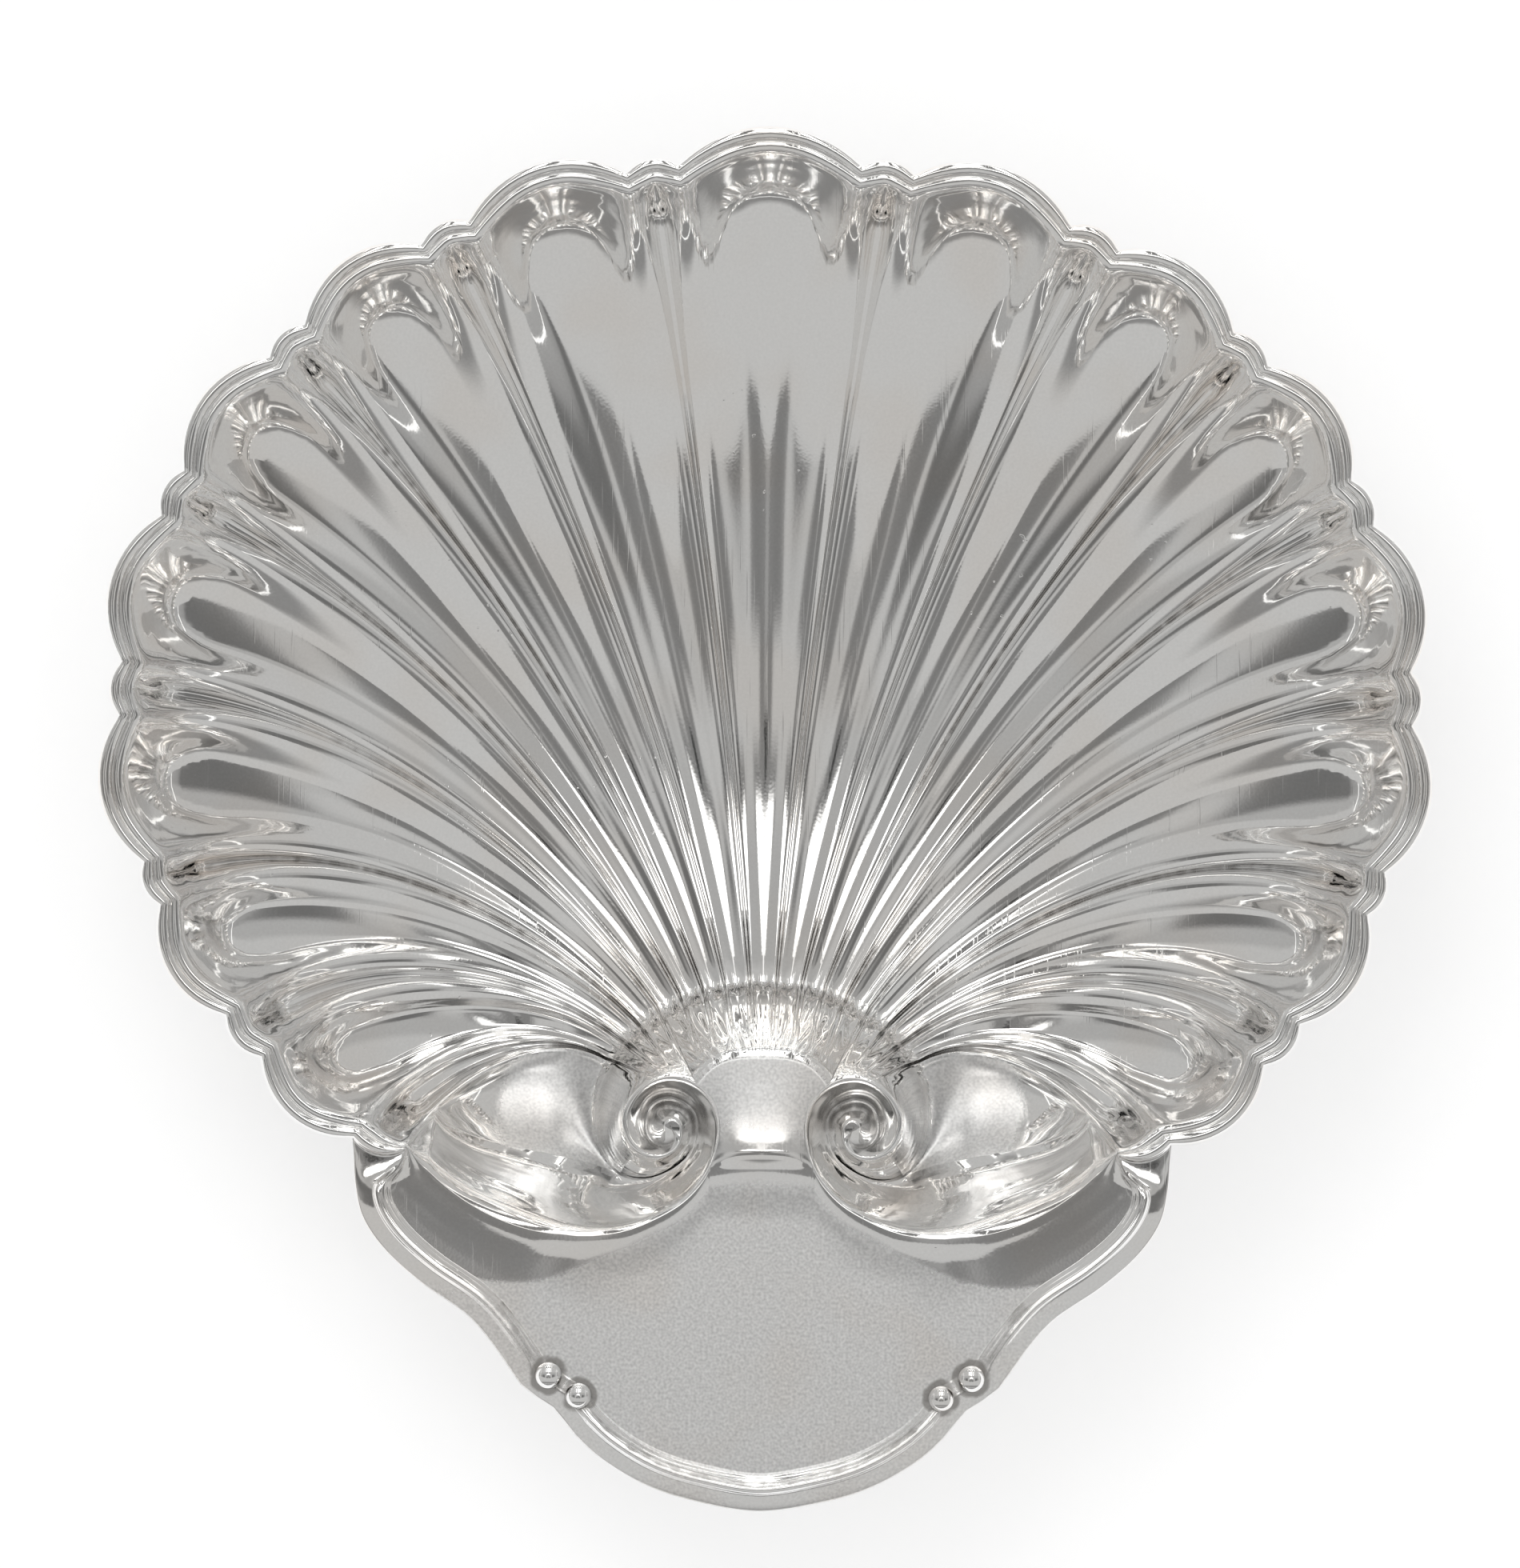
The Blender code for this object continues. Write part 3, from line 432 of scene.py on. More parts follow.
def foot_line(angle):
    """Foot of the scroll's ribbon, from the hinge's end to the scroll's centre."""
    angle = np.where(angle > CENTRE_ANGLE, FOOT_ANGLES[-1], angle)
    first = np.linalg.norm(HINGE_END - SCROLL) / SCROLL_SIZE
    radius = smooth_through((HINGE_END_ANGLE,) + FOOT_ANGLES, (first,) + FOOT_RADII, angle)
    plan = polar(angle, np.maximum(radius, 0.0) * SCROLL_SIZE)
    sink = smooth_through(FOOT_DEPTH_ANGLES, FOOT_DEPTHS, angle)
    height = -SCROLL_FLOOR - (HINGE_FLOOR - RIDGE_AT_HINGE - SCROLL_FLOOR) * sink
    top = -NOSE_LEVEL - CENTRE_DROP
    centre = step((angle - 500.0) / 180.0)
    return np.column_stack([plan, height * (1.0 - centre) + top * centre])


# %% [markdown]
# Four more grids close the skin: the small basin beside the scroll, the ribbon that climbs
# the arch and rolls in, the ribbon that climbs behind the basin and rolls in beside it,
# and the saddle between the two scrolls. Neighbours read the same lines at the same
# stations, so their edges meet point for point and can be merged.

# %% Grids of the basin, the ribbons and the nose
BASIN_FLOOR = 0.022
BASIN_SAG = 0.0030
BASIN_PULL = 0.30
NOSE_EDGE = 0.0083
NOSE_PULL = 0.006
NECK_ANGLE = -45.0
SAME_ANGLE = 0.1
SADDLE_AT = (0.0, 0.30, 0.60, 0.80, 0.93, 1.0)
SADDLE_RISE = (0.0, 0.00020, 0.00055, 0.00105, 0.00130, 0.0002)
TURN = 72
WALL_ROWS = 9
BASIN_END = int(round(FLOOR_ROWS * 0.70))
BASIN_COLUMNS = 150 * TURN // 360
ROLL_COLUMNS = 3 * LARGE_COLUMNS + 4 * SMALL_COLUMNS
ROLL_ANGLE = 108.0
ONE_TURN = np.concatenate([
    np.linspace(EDGE_START, NOSE_ANGLE, 195 * TURN // 360 + 1)[:-1],
    np.linspace(NOSE_ANGLE, ROLL_ANGLE, ROLL_COLUMNS + 1)[:-1],
    np.linspace(ROLL_ANGLE, BASIN_ANGLE, BASIN_COLUMNS + 1)[:-1]])
TURNS = np.concatenate([ONE_TURN, ONE_TURN + 360.0, ONE_TURN + 720.0])
TURNS = np.append(TURNS[TURNS < CENTRE_ANGLE], EDGE_ANGLES[-1])


def bezier(start, p1, p2, end, t):
    return ((1 - t) ** 3 * start + 3 * t * (1 - t) ** 2 * p1
            + 3 * t * t * (1 - t) * p2 + t ** 3 * end)


def bow(start, end, along_1, out_1, along_2, out_2, t):
    """A bowed line from start to end; the two pulls are shares of the straight line."""
    line = end - start
    side = np.array([-line[1], line[0]])
    p1 = start + along_1 * line + out_1 * side
    p2 = start + along_2 * line + out_2 * side
    return bezier(start, p1, p2, end, t[:, None])


def basin_foot():
    """Foot of the wall behind the basin, from the hinge side out to the last ridge."""
    inner, onward = foot_line(np.array([BASIN_ANGLE, BASIN_ANGLE + 2.0]))
    outer = RIDGE[BASIN_END]
    t = np.linspace(0.0, 1.0, BASIN_END + 1)
    line = outer[:2] - inner[:2]
    leave = -3.0 * BASIN_PULL * np.linalg.norm(line) * unit(onward[:2] - inner[:2])
    side = np.array([-line[1], line[0]])
    arrive = 3.0 * (0.21 * line + 0.18 * side)
    plan = hermite(inner[:2], outer[:2], leave, arrive, t)
    height = inner[2] + (-BASIN_FLOOR - inner[2]) * step(t / 0.5)
    height = height + (outer[2] + BASIN_FLOOR) * step((t - 0.5) / 0.5)
    return np.column_stack([plan, height])


def wall_edge():
    """Upper edge of the wall behind the basin, from the scroll out to the rim's corner."""
    inner = edge_line(np.array([EDGE_START]))[0]
    t = np.linspace(0.0, 1.0, FLOOR_ROWS + 1)
    t = 0.5 * t + 0.5 * (1.0 - (1.0 - t) ** 3)
    plan = bow(inner[:2], CORNER[:2], 0.2725, -0.15, 0.693, -0.1467, t)
    return np.column_stack([plan, inner[2] + (CORNER[2] - inner[2]) * step(t)])


BASIN_FOOT = basin_foot()
WALL_EDGE = wall_edge()


def basin_grid():
    """Floor of the small basin between the last ridge and the wall behind it."""
    grid = np.zeros((BASIN_COLUMNS + 1, BASIN_END + 1, 3))
    near = foot_line(np.linspace(HINGE_END_ANGLE, BASIN_ANGLE, BASIN_COLUMNS + 1))
    near[0] = RIDGE[0]
    v = np.linspace(0.0, 1.0, BASIN_END + 1)[:, None]
    for c in range(BASIN_COLUMNS + 1):
        s = c / BASIN_COLUMNS
        straight = RIDGE[:BASIN_END + 1] * (1.0 - s) + BASIN_FOOT * s
        point = straight + (near[c] - straight[0]) * (1.0 - v)
        rise = wall_curve(np.array([s]), 0.2, 0.45)[0]
        floor = RIDGE[:BASIN_END + 1, 2] * (1.0 - rise) + BASIN_FOOT[:, 2] * rise
        sag = BASIN_SAG * math.sin(math.pi * s) * np.sin(math.pi * v[:, 0])
        blend = np.minimum(1.0, 4.0 * v[:, 0])
        point[:, 2] = point[:, 2] * (1.0 - blend) + floor * blend - sag
        grid[c] = point
    return grid


def ribbon(low, high, foot, crest):
    """A ribbon of wall between two lines with the same number of points."""
    q = np.linspace(0.0, 1.0, WALL_ROWS + 1)[None, :, None]
    grid = low[:, None, :] + (high - low)[:, None, :] * q
    rise = wall_curve(q[..., 0], foot, crest)
    grid[..., 2] = low[:, None, 2] + (high - low)[:, None, 2] * rise
    return grid


def nose_line():
    """Edge of the nose over the arch, from the mirror plane to the scroll."""
    count = len(COLUMNS) - 1 - ROLL_COLUMNS
    end = edge_line(np.array([NOSE_ANGLE]))[0]
    start = np.array([0.0, HINGE_Y + NOSE_EDGE])
    shoulder = np.array([SCROLL_X * 0.55, start[1] - 0.0008])
    s = np.linspace(0.0, 1.0, count + 1)[:, None]
    plan = bezier(start, start + np.array([NOSE_PULL, 0.0]), shoulder, end[:2], s)
    return np.column_stack([plan, np.full(count + 1, -NOSE_LEVEL)])


NOSE = nose_line()


def arch_ribbon():
    """The wall from the flutes' foot up to the nose, rolled on into the scroll."""
    roll = np.linspace(HINGE_END_ANGLE, BASIN_ANGLE, BASIN_COLUMNS + 1)[1:]
    onward = TURNS[TURNS > BASIN_ANGLE + SAME_ANGLE]
    low = np.vstack([FAN_GRID[:, 0], foot_line(roll), foot_line(onward)])
    high = np.vstack([NOSE, edge_line(TURNS[TURNS > NOSE_ANGLE + SAME_ANGLE])])
    return ribbon(low, high, 0.3, 0.85)


def wall_ribbon():
    """The wall behind the basin, rolled on beside the arch's ribbon."""
    low = np.vstack([RIDGE[:BASIN_END:-1], BASIN_FOOT[::-1], foot_line(TURNS[1:] + 360.0)])
    high = np.vstack([WALL_EDGE[::-1], edge_line(TURNS[1:])])
    return ribbon(low, high, 0.25, 0.85)


def nose_grid():
    """The saddle between the scrolls, from the nose's edge down to the neck."""
    beside = (TURNS < NOSE_ANGLE + SAME_ANGLE) & (TURNS > NECK_ANGLE - SAME_ANGLE)
    edge = edge_line(TURNS[beside][::-1])
    rows = len(edge)
    s = running_length(NOSE[:, :2])
    s = s / s[-1]
    bend = NOSE[:, 1] - (NOSE[0, 1] + (NOSE[-1, 1] - NOSE[0, 1]) * s)
    grid = np.zeros((len(NOSE), rows, 3))
    for r in range(rows):
        v = r / (rows - 1)
        middle = NOSE[0, 1] + (edge[-1, 1] + 0.0006 - NOSE[0, 1]) * v
        across = s ** 2 * v + s * (1.0 - v)
        grid[:, r, 0] = s * edge[r, 0] + (NOSE[:, 0] - s * NOSE[-1, 0]) * (1.0 - v)
        grid[:, r, 1] = middle + (edge[r, 1] - middle) * across + bend * (1.0 - v)
        saddle = smooth_through(SADDLE_AT, SADDLE_RISE, np.array([v]))[0]
        grid[:, r, 2] = edge[r, 2] + saddle * (1.0 - s * s)
    return grid


NOSE_GRID = nose_grid()
NECK = NOSE_GRID[:, -1]
print("scroll:", len(TURNS), "stations over", round(float(TURNS[-1] - EDGE_START)), "degrees")

# %% [markdown]
# The handle is a flat plate with a raised border. Its grid starts at the neck, the scroll
# and the basin's wall, and ends at the outline. Near the outline the stations are offsets
# from the edge, so that the border keeps its section all the way round.

# %% Grid of the handle
HANDLE_LENGTH = 0.0707
BORDER_WIDTH = 0.0066
FLANGE_WIDTH = 0.0034
PLATE_DROP = 0.0018
PLATE_FALL = 0.0070
EDGE_LEVEL = -0.0024
FLANGE_RISE = 0.0015
# Middle, height and half width of the two round mouldings
MOULDINGS = ((FLANGE_WIDTH + 0.0011, 0.0011, 0.0010), (BORDER_WIDTH - 0.0009, 0.0007, 0.0008))
BORDER_GAP = (0.56, 0.69)
GAP_HALF = 0.004
GAP_EASE = 0.006
CORNER_AT = 0.90
CORNER_RUN = 0.10
OUTLINE_X = (1.0, 0.997, 0.993, 0.974, 0.92, 0.832, 0.718, 0.649, 0.610, 0.583, 0.552,
             0.517, 0.482, 0.451, 0.385, 0.285, 0.168, 0.0)
OUTLINE_Y = (0.0, 0.042, 0.128, 0.215, 0.301, 0.387, 0.474, 0.560, 0.622, 0.664, 0.692,
             0.711, 0.754, 0.797, 0.862, 0.927, 0.970, 1.0)
BORDER_ROWS = 18
PLATE_STATIONS = (0.0, 0.015, 0.035, 0.06, 0.11, 0.18, 0.30, 0.58, 0.85, 0.985)


def handle_outline(shares):
    """The handle's outer line from its tip to the rim's corner, at shares of its length."""
    corner = CUSPS[-2]
    fine = np.linspace(0.0, len(OUTLINE_X) - 1.0, 800)
    knots = list(range(len(OUTLINE_X) + 1))
    x = smooth_through(knots, OUTLINE_X + (-OUTLINE_X[-2],), fine) * corner[0]
    y = corner[1] - smooth_through(knots, OUTLINE_Y + (OUTLINE_Y[-2],), fine) * HANDLE_LENGTH
    line = np.stack([x, y], axis=1)[::-1]
    run = running_length(line)
    places = run[-1] * shares
    return np.stack([np.interp(places, run, line[:, 0]), np.interp(places, run, line[:, 1])],
                    axis=1)


def border_height(offset, strength):
    """Height of the handle's border at this distance in from the outline."""
    edge = EDGE_LEVEL + FLANGE_RISE * np.clip(offset / FLANGE_WIDTH, 0.0, 1.0) ** 0.8
    raised = sum(high * np.sqrt(np.maximum(1.0 - ((offset - middle) / half) ** 2, 0.0))
                 for middle, high, half in MOULDINGS)
    fall = step((offset - FLANGE_WIDTH) / (BORDER_WIDTH - FLANGE_WIDTH))
    return edge + (-PLATE_DROP - edge) * fall + raised * strength


def handle_grid():
    """The handle from the nose and the scroll's edge out to its border."""
    beyond = TURNS[TURNS < NECK_ANGLE - SAME_ANGLE][::-1]
    inner = np.vstack([NECK, edge_line(beyond), WALL_EDGE[1:]])
    count = len(inner)
    run = running_length(inner[:, :2])
    outer = handle_outline(run / run[-1])
    tangent = np.gradient(outer, running_length(outer), axis=0)
    normal = unit(np.stack([-tangent[:, 1], tangent[:, 0]], axis=1))
    normal[0] = (0.0, 1.0)
    side = np.vstack([FAN_GRID[-1, FLOOR_ROWS:], FAN_GRID[-2:-SMALL_COLUMNS - 2:-1, -1]])
    steps = len(side) - 1
    offsets = np.linspace(BORDER_WIDTH, 0.0, BORDER_ROWS + 1)
    plain = len(PLATE_STATIONS)
    corner_x, corner_y = CUSPS[-2]
    gap = (corner_x * BORDER_GAP[0], corner_y - BORDER_GAP[1] * HANDLE_LENGTH)
    strength = step((np.linalg.norm(outer - gap, axis=1) - GAP_HALF) / GAP_EASE)
    grid = np.zeros((count, steps + 1, 3))
    for i in range(steps + 1):
        if i < plain:
            rim_side = outer + normal * BORDER_WIDTH
            grid[:, i, :2] = inner[:, :2] + (rim_side - inner[:, :2]) * PLATE_STATIONS[i]
            away = np.linalg.norm(grid[:, i, :2] - inner[:, :2], axis=1)
            grid[:, i, 2] = inner[:, 2] + (-PLATE_DROP - inner[:, 2]) * step(away / PLATE_FALL)
        else:
            offset = offsets[i - plain]
            grid[:, i, :2] = outer + normal * offset
            grid[:, i, 2] = border_height(np.full(count, offset), strength)
    pull = step(((run / run[-1])[:, None, None] - CORNER_AT) / CORNER_RUN)
    return grid + (side[None, :, :] - grid[-1][None, :, :]) * pull


# %% [markdown]
# Each grid of points is given to a grid primitive with the same number of faces. The six
# are joined and their shared edges merged, and a Mirror modifier makes the other half.
# Each grid also carries a mark that says how satin its metal is.

# %% Skin of the body
def bend_grid(name, points, satin):
    """Add a grid primitive, bend it onto the given points and mark how satin it is."""
    columns, rows = points.shape[:2]
    bpy.ops.mesh.primitive_grid_add(x_subdivisions=columns - 1, y_subdivisions=rows - 1, size=2.0)
    grid = bpy.context.object
    grid.name = name
    flat = np.zeros(len(grid.data.vertices) * 3)
    grid.data.vertices.foreach_get("co", flat)
    flat = flat.reshape(-1, 3)
    c = np.rint((flat[:, 0] + 1.0) / 2.0 * (columns - 1)).astype(int)
    r = np.rint((flat[:, 1] + 1.0) / 2.0 * (rows - 1)).astype(int)
    placed = points[c, r] + SHIFT
    placed[:, 0] = np.minimum(placed[:, 0], body_box[1][0])
    grid.data.vertices.foreach_set("co", placed.ravel())
    satin = np.broadcast_to(satin, points.shape[:2])
    mark = grid.data.attributes.new("satin", "FLOAT", "POINT")
    mark.data.foreach_set("value", satin[c, r].astype(np.float32))
    return grid


BALL_SIZE = 0.0052
METAL = 0.0013
BALL_SINK = METAL * 0.6
far_edge = rim_lobe(0, np.array([0.5]))[0][0, 1]
SHIFT = np.array([0.0, body_box[1][1] - far_edge,
                  body_box[1][2] - (BALL_SIZE - PLATE_DROP - BALL_SINK)])
print("shift from the rim's frame to the dish's:", (SHIFT * 1000).round(2), "mm")

HANDLE_GRID = handle_grid()
BASIN_GRID = basin_grid()
BORDER_SATIN = 0.5
BASIN_SATIN = (1.5, -0.35)
NOSE_SATIN = (0.95, 0.30)
BRIGHT_NEAR = 0.003
BRIGHT_GROWTH = 0.019
BRIGHT_EASE = 0.008


def handle_satin():
    """Satin of the handle: none along its inner edge, full on the plate, half on the border."""
    beyond_plate = step(np.arange(HANDLE_GRID.shape[1]) - (len(PLATE_STATIONS) - 1))
    run = running_length(HANDLE_GRID[:, 0, :2])
    bright = BRIGHT_NEAR + BRIGHT_GROWTH * step((run / run[-1] - 0.30) / 0.65)
    away = np.linalg.norm(HANDLE_GRID[..., :2] - HANDLE_GRID[:, :1, :2], axis=-1)
    plate = np.clip(0.5 + (away - bright[:, None]) / BRIGHT_EASE, 0.0, 1.0)
    return (1.0 - (1.0 - BORDER_SATIN) * beyond_plate) * plate


deselect()
patches = [
    bend_grid("fan", FAN_GRID, 0.0),
    bend_grid("basin", BASIN_GRID, np.linspace(*BASIN_SATIN, BASIN_GRID.shape[1])),
    bend_grid("arch", arch_ribbon(), 0.0),
    bend_grid("wall", wall_ribbon(), 0.0),
    bend_grid("nose", NOSE_GRID, np.linspace(*NOSE_SATIN, NOSE_GRID.shape[1])),
    bend_grid("handle", HANDLE_GRID, handle_satin())]
for patch in patches:
    patch.select_set(True)
body = patches[0]
bpy.context.view_layer.objects.active = body
bpy.ops.object.join()
body.name = "shell_body"
bpy.ops.object.mode_set(mode="EDIT")
bpy.ops.mesh.select_all(action="SELECT")
bpy.ops.mesh.remove_doubles(threshold=0.000001)
bpy.ops.object.mode_set(mode="OBJECT")
mirror = body.modifiers.new("mirror", "MIRROR")
mirror.use_clip = True
mirror.merge_threshold = 0.00001
bpy.ops.object.modifier_apply(modifier="mirror")
bpy.ops.object.mode_set(mode="EDIT")
bpy.ops.mesh.select_all(action="SELECT")
bpy.ops.mesh.quads_convert_to_tris(quad_method="BEAUTY", ngon_method="BEAUTY")
bpy.ops.mesh.normals_make_consistent(inside=False)
bpy.ops.object.mode_set(mode="OBJECT")
print("skin:", len(body.data.polygons), "faces")

# %% [markdown]
# A polished sheet shows its thickness at the rim and from below. The skin is extruded as a
# region, which keeps the upper side, and the copy sinks by the metal's thickness. The
# underside shows far less, so its inner faces are thinned by a decimation.

# %% Thickness of the metal
UNDERSIDE_SHARE = 0.36

top_count = len(body.data.polygons)
bpy.ops.object.mode_set(mode="EDIT")
sheet = bmesh.from_edit_mesh(body.data)
sheet.normal_update()
if sum(face.normal.z for face in sheet.faces) < 0.0:
    bmesh.ops.reverse_faces(sheet, faces=sheet.faces[:])
    sheet.normal_update()
sink = {vert.index: METAL * min(1.0 / max(abs(vert.normal.z), 0.1), 2.0) for vert in sheet.verts}
lay = sheet.verts.layers.float.new("sink")
for vert in sheet.verts:
    vert[lay] = sink[vert.index]
made = bmesh.ops.extrude_face_region(sheet, geom=sheet.faces[:], use_keep_orig=True)
under = [item for item in made["geom"] if isinstance(item, bmesh.types.BMVert)]
for vert in under:
    vert.co.z -= vert[lay]
for part in (sheet.verts, sheet.edges, sheet.faces):
    for item in part:
        item.select_set(False)
under_set = set(under)
for face in sheet.faces:
    if all(vert in under_set and not vert.is_boundary for vert in face.verts):
        if not any(len({v in under_set for f in vert.link_faces for v in f.verts}) > 1
                   for vert in face.verts):
            face.select_set(True)
bmesh.ops.recalc_face_normals(sheet, faces=sheet.faces[:])
bmesh.update_edit_mesh(body.data)
bpy.ops.mesh.decimate(ratio=UNDERSIDE_SHARE, use_symmetry=True, symmetry_axis="X")
bpy.ops.object.mode_set(mode="OBJECT")
bpy.ops.object.shade_smooth()
body.data.attributes.remove(body.data.attributes["sink"])
print("body:", len(body.data.polygons), "faces,", top_count, "of them on the skin")

# %% [markdown]
# Tarnish stays where a polishing cloth can't reach, in grooves and in the scroll; painted shade
# darkens the scroll too and rings the foot of each ball terminal. The shader finds the hollows in
# an attribute of the mesh, the bend of the surface at each point, positive where the metal around
# it stands higher.

# %% Hollows and slopes as attributes
SHARPEST_GROOVE = 0.0003


def read(items, name, width=1, kind=float):
    """The named value of every item of a mesh as an array."""
    values = np.zeros(len(items) * width, kind)
    items.foreach_get(name, values)
    return values.reshape(-1, width) if width > 1 else values


def neighbour_mean(values, ends):
    """Mean of a value over each point's neighbours along the given edges."""
    total = np.zeros(len(values))
    count = np.zeros(len(values))
    for here, there in (ends, ends[::-1]):
        np.add.at(total, here, values[there])
        np.add.at(count, here, 1.0)
    return total / np.maximum(count, 1.0)


def hollows(mesh):
    """How hollow the surface is at each point: 1 in a groove as sharp as they get."""
    place = read(mesh.vertices, "co", 3)
    normal = read(mesh.vertex_normals, "vector", 3)
    ends = read(mesh.edges, "vertices", 2, int).T
    hollow = np.zeros(len(place))
    for here, there in (ends, ends[::-1]):
        line = place[there] - place[here]
        bend = 2.0 * (line * normal[here]).sum(axis=1) / (line ** 2).sum(axis=1)
        np.maximum.at(hollow, here, bend)
    for _ in range(2):
        hollow = neighbour_mean(hollow, ends)
    return hollow * SHARPEST_GROOVE


def mark_shape(obj, hollow):
    """Store how hollow and how steep the surface is at each point."""
    mesh = obj.data
    steep = 1.0 - abs(read(mesh.vertex_normals, "vector", 3)[:, 2])
    for name, values in (("hollow", hollow), ("steep", steep)):
        mark = mesh.attributes.new(name, "FLOAT", "POINT")
        mark.data.foreach_set("value", np.clip(values, 0.0, 1.0).astype(np.float32))


print("shape marks: hollow and steep, groove radius", SHARPEST_GROOVE)

# %% [markdown]
# The hollow mark is raised along the handle's border, which darkens its grooves, and it is
# lowered at the round ends of the flutes, although both are about equally hollow. The satin
# mark tells the border from the flutes.

# %% Darker border grooves and lighter flute ends
BORDER_DARKENING = 2.2
FLUTE_ENDS_FROM = 0.78
FLUTE_END_DARKENING = 0.52
SATIN_SLACK = 0.02


def body_hollows():
    mesh = body.data
    hollow = hollows(mesh)
    satin = read(mesh.attributes["satin"].data, "value")
    # The border's grooves are darkened more than their hollowness alone gives
    hollow[abs(satin - BORDER_SATIN) < SATIN_SLACK] *= BORDER_DARKENING
    place = read(mesh.vertices, "co", 3)[:, :2]
    in_plan = (place - SHIFT[:2]) / (RIM_HALF_WIDTH, RIM_HALF_LENGTH)
    ends = (np.linalg.norm(in_plan, axis=1) > FLUTE_ENDS_FROM) & (satin < SATIN_SLACK)
    hollow[ends] = np.minimum(hollow[ends], FLUTE_END_DARKENING)
    return hollow


body_hollow = body_hollows()
mark_shape(body, body_hollow)
print("hollow places:", int((body_hollow > 0.3).sum()), "of", len(body_hollow), "points")

# %% [markdown]
# The handle's border ends in two small balls on each side, cast solid. Each is a sphere
# sunk in the plate, with its lowest part cut away inside the metal.

# %% Ball terminals
SMALL_BALL_SIZE = 0.0050
# Shares of the corner's distance aside and of the handle's length, and size
BALLS = ((0.516, 0.635, BALL_SIZE), (0.443, 0.689, SMALL_BALL_SIZE))


def ball_terminal(name, x, y, size):
    """A sphere sunk in the plate, its lowest part cut away inside the metal."""
    centre = Vector((x, y, -PLATE_DROP + size / 2.0 - BALL_SINK)) + Vector(SHIFT)
    bpy.ops.mesh.primitive_uv_sphere_add(segments=48, ring_count=32, radius=size / 2.0,
                                         location=centre)
    ball = bpy.context.object
    ball.name = name
    bpy.ops.object.transform_apply(location=True, rotation=True, scale=True)
    bpy.ops.object.mode_set(mode="EDIT")
    bpy.ops.mesh.select_all(action="SELECT")
    cut = centre.z - size / 2.0 + BALL_SINK * 0.4
    bpy.ops.mesh.bisect(plane_co=(x, y, cut), plane_no=(0.0, 0.0, 1.0), use_fill=True,
                        clear_inner=True)
    bpy.ops.object.mode_set(mode="OBJECT")
    bpy.ops.object.shade_smooth_by_angle(angle=math.radians(40.0))
    return ball


terminals = []
for number, (share_x, share_y, size) in enumerate(BALLS):
    for side, word in ((-1.0, "left"), (1.0, "right")):
        deselect()
        terminals.append(ball_terminal(
            f"ball_terminal_{word}_{number + 1}", side * CUSPS[-2][0] * share_x,
            CUSPS[-2][1] - HANDLE_LENGTH * share_y, size))
        mark_shape(terminals[-1], hollows(terminals[-1].data))
print("terminals:", len(terminals))

# %% [markdown]
# Three ball feet carry the dish. A turned foot starts as a sphere: its underside is cut to
# a small flat, its crown is cut off at the waist, and the open ring is extruded upwards
# into a stem and a pad. The frame gives each foot's place, its width and its height.

# %% Feet
FOOT_NECK = 0.0030
FOOT_FLAT = 0.0022
PAD_THICKNESS = 0.0009
FOOT_ROUNDING = 0.00015
# Share of the stem's height and growth in width of each step from the waist to the pad
STEM_STEPS = ((0.35, 1.0), (0.25, 1.0), (0.15, 1.12), (0.15, 1.18), (0.10, 1.135))


def ball_foot(name):
    """A turned foot in the place of one of the frame's feet."""
    low, high = (Vector(corner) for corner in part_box(name))
    middle = (low + high) / 2.0
    radius = (high.x - low.x) / 2.0
    centre = low.z + math.sqrt(radius ** 2 - FOOT_FLAT ** 2)
    waist = centre + math.sqrt(radius ** 2 - FOOT_NECK ** 2)
    bpy.ops.mesh.primitive_uv_sphere_add(segments=64, ring_count=48, radius=radius,
                                         location=(middle.x, middle.y, centre))
    foot = bpy.context.object
    foot.name = name.replace("foot", "ball_foot")
    bpy.ops.object.transform_apply(location=True, rotation=True, scale=True)
    bpy.ops.object.mode_set(mode="EDIT")
    bpy.ops.mesh.select_all(action="SELECT")
    bpy.ops.mesh.bisect(plane_co=low, plane_no=(0.0, 0.0, 1.0), use_fill=True, clear_inner=True)
    bpy.ops.mesh.select_all(action="SELECT")
    bpy.ops.mesh.bisect(plane_co=(middle.x, middle.y, waist), plane_no=(0.0, 0.0, 1.0),
                        clear_outer=True)
    stem = high.z - PAD_THICKNESS - waist
    for share, grow in STEM_STEPS:
        bpy.ops.mesh.extrude_region_move(TRANSFORM_OT_translate={"value": (0, 0, stem * share)})
        bpy.ops.transform.resize(value=(grow, grow, 1.0),
                                 center_override=(middle.x, middle.y, waist))
    bpy.ops.mesh.extrude_region_move(TRANSFORM_OT_translate={"value": (0, 0, PAD_THICKNESS)})
    bpy.ops.mesh.edge_face_add()
    bpy.ops.mesh.select_all(action="SELECT")
    bpy.ops.mesh.normals_make_consistent(inside=False)
    bpy.ops.object.mode_set(mode="OBJECT")
    edge = foot.modifiers.new("rounded edges", "BEVEL")
    edge.width = FOOT_ROUNDING
    edge.segments = 2
    edge.angle_limit = math.radians(40.0)
    bpy.ops.object.modifier_apply(modifier=edge.name)
    bpy.ops.object.shade_smooth_by_angle(angle=math.radians(40.0))
    return foot


feet = []
for name in ("foot_front", "foot_left", "foot_right"):
    deselect()
    feet.append(ball_foot(name))
    mark_shape(feet[-1], hollows(feet[-1].data))
print("feet:", [(foot.name, len(foot.data.polygons)) for foot in feet])
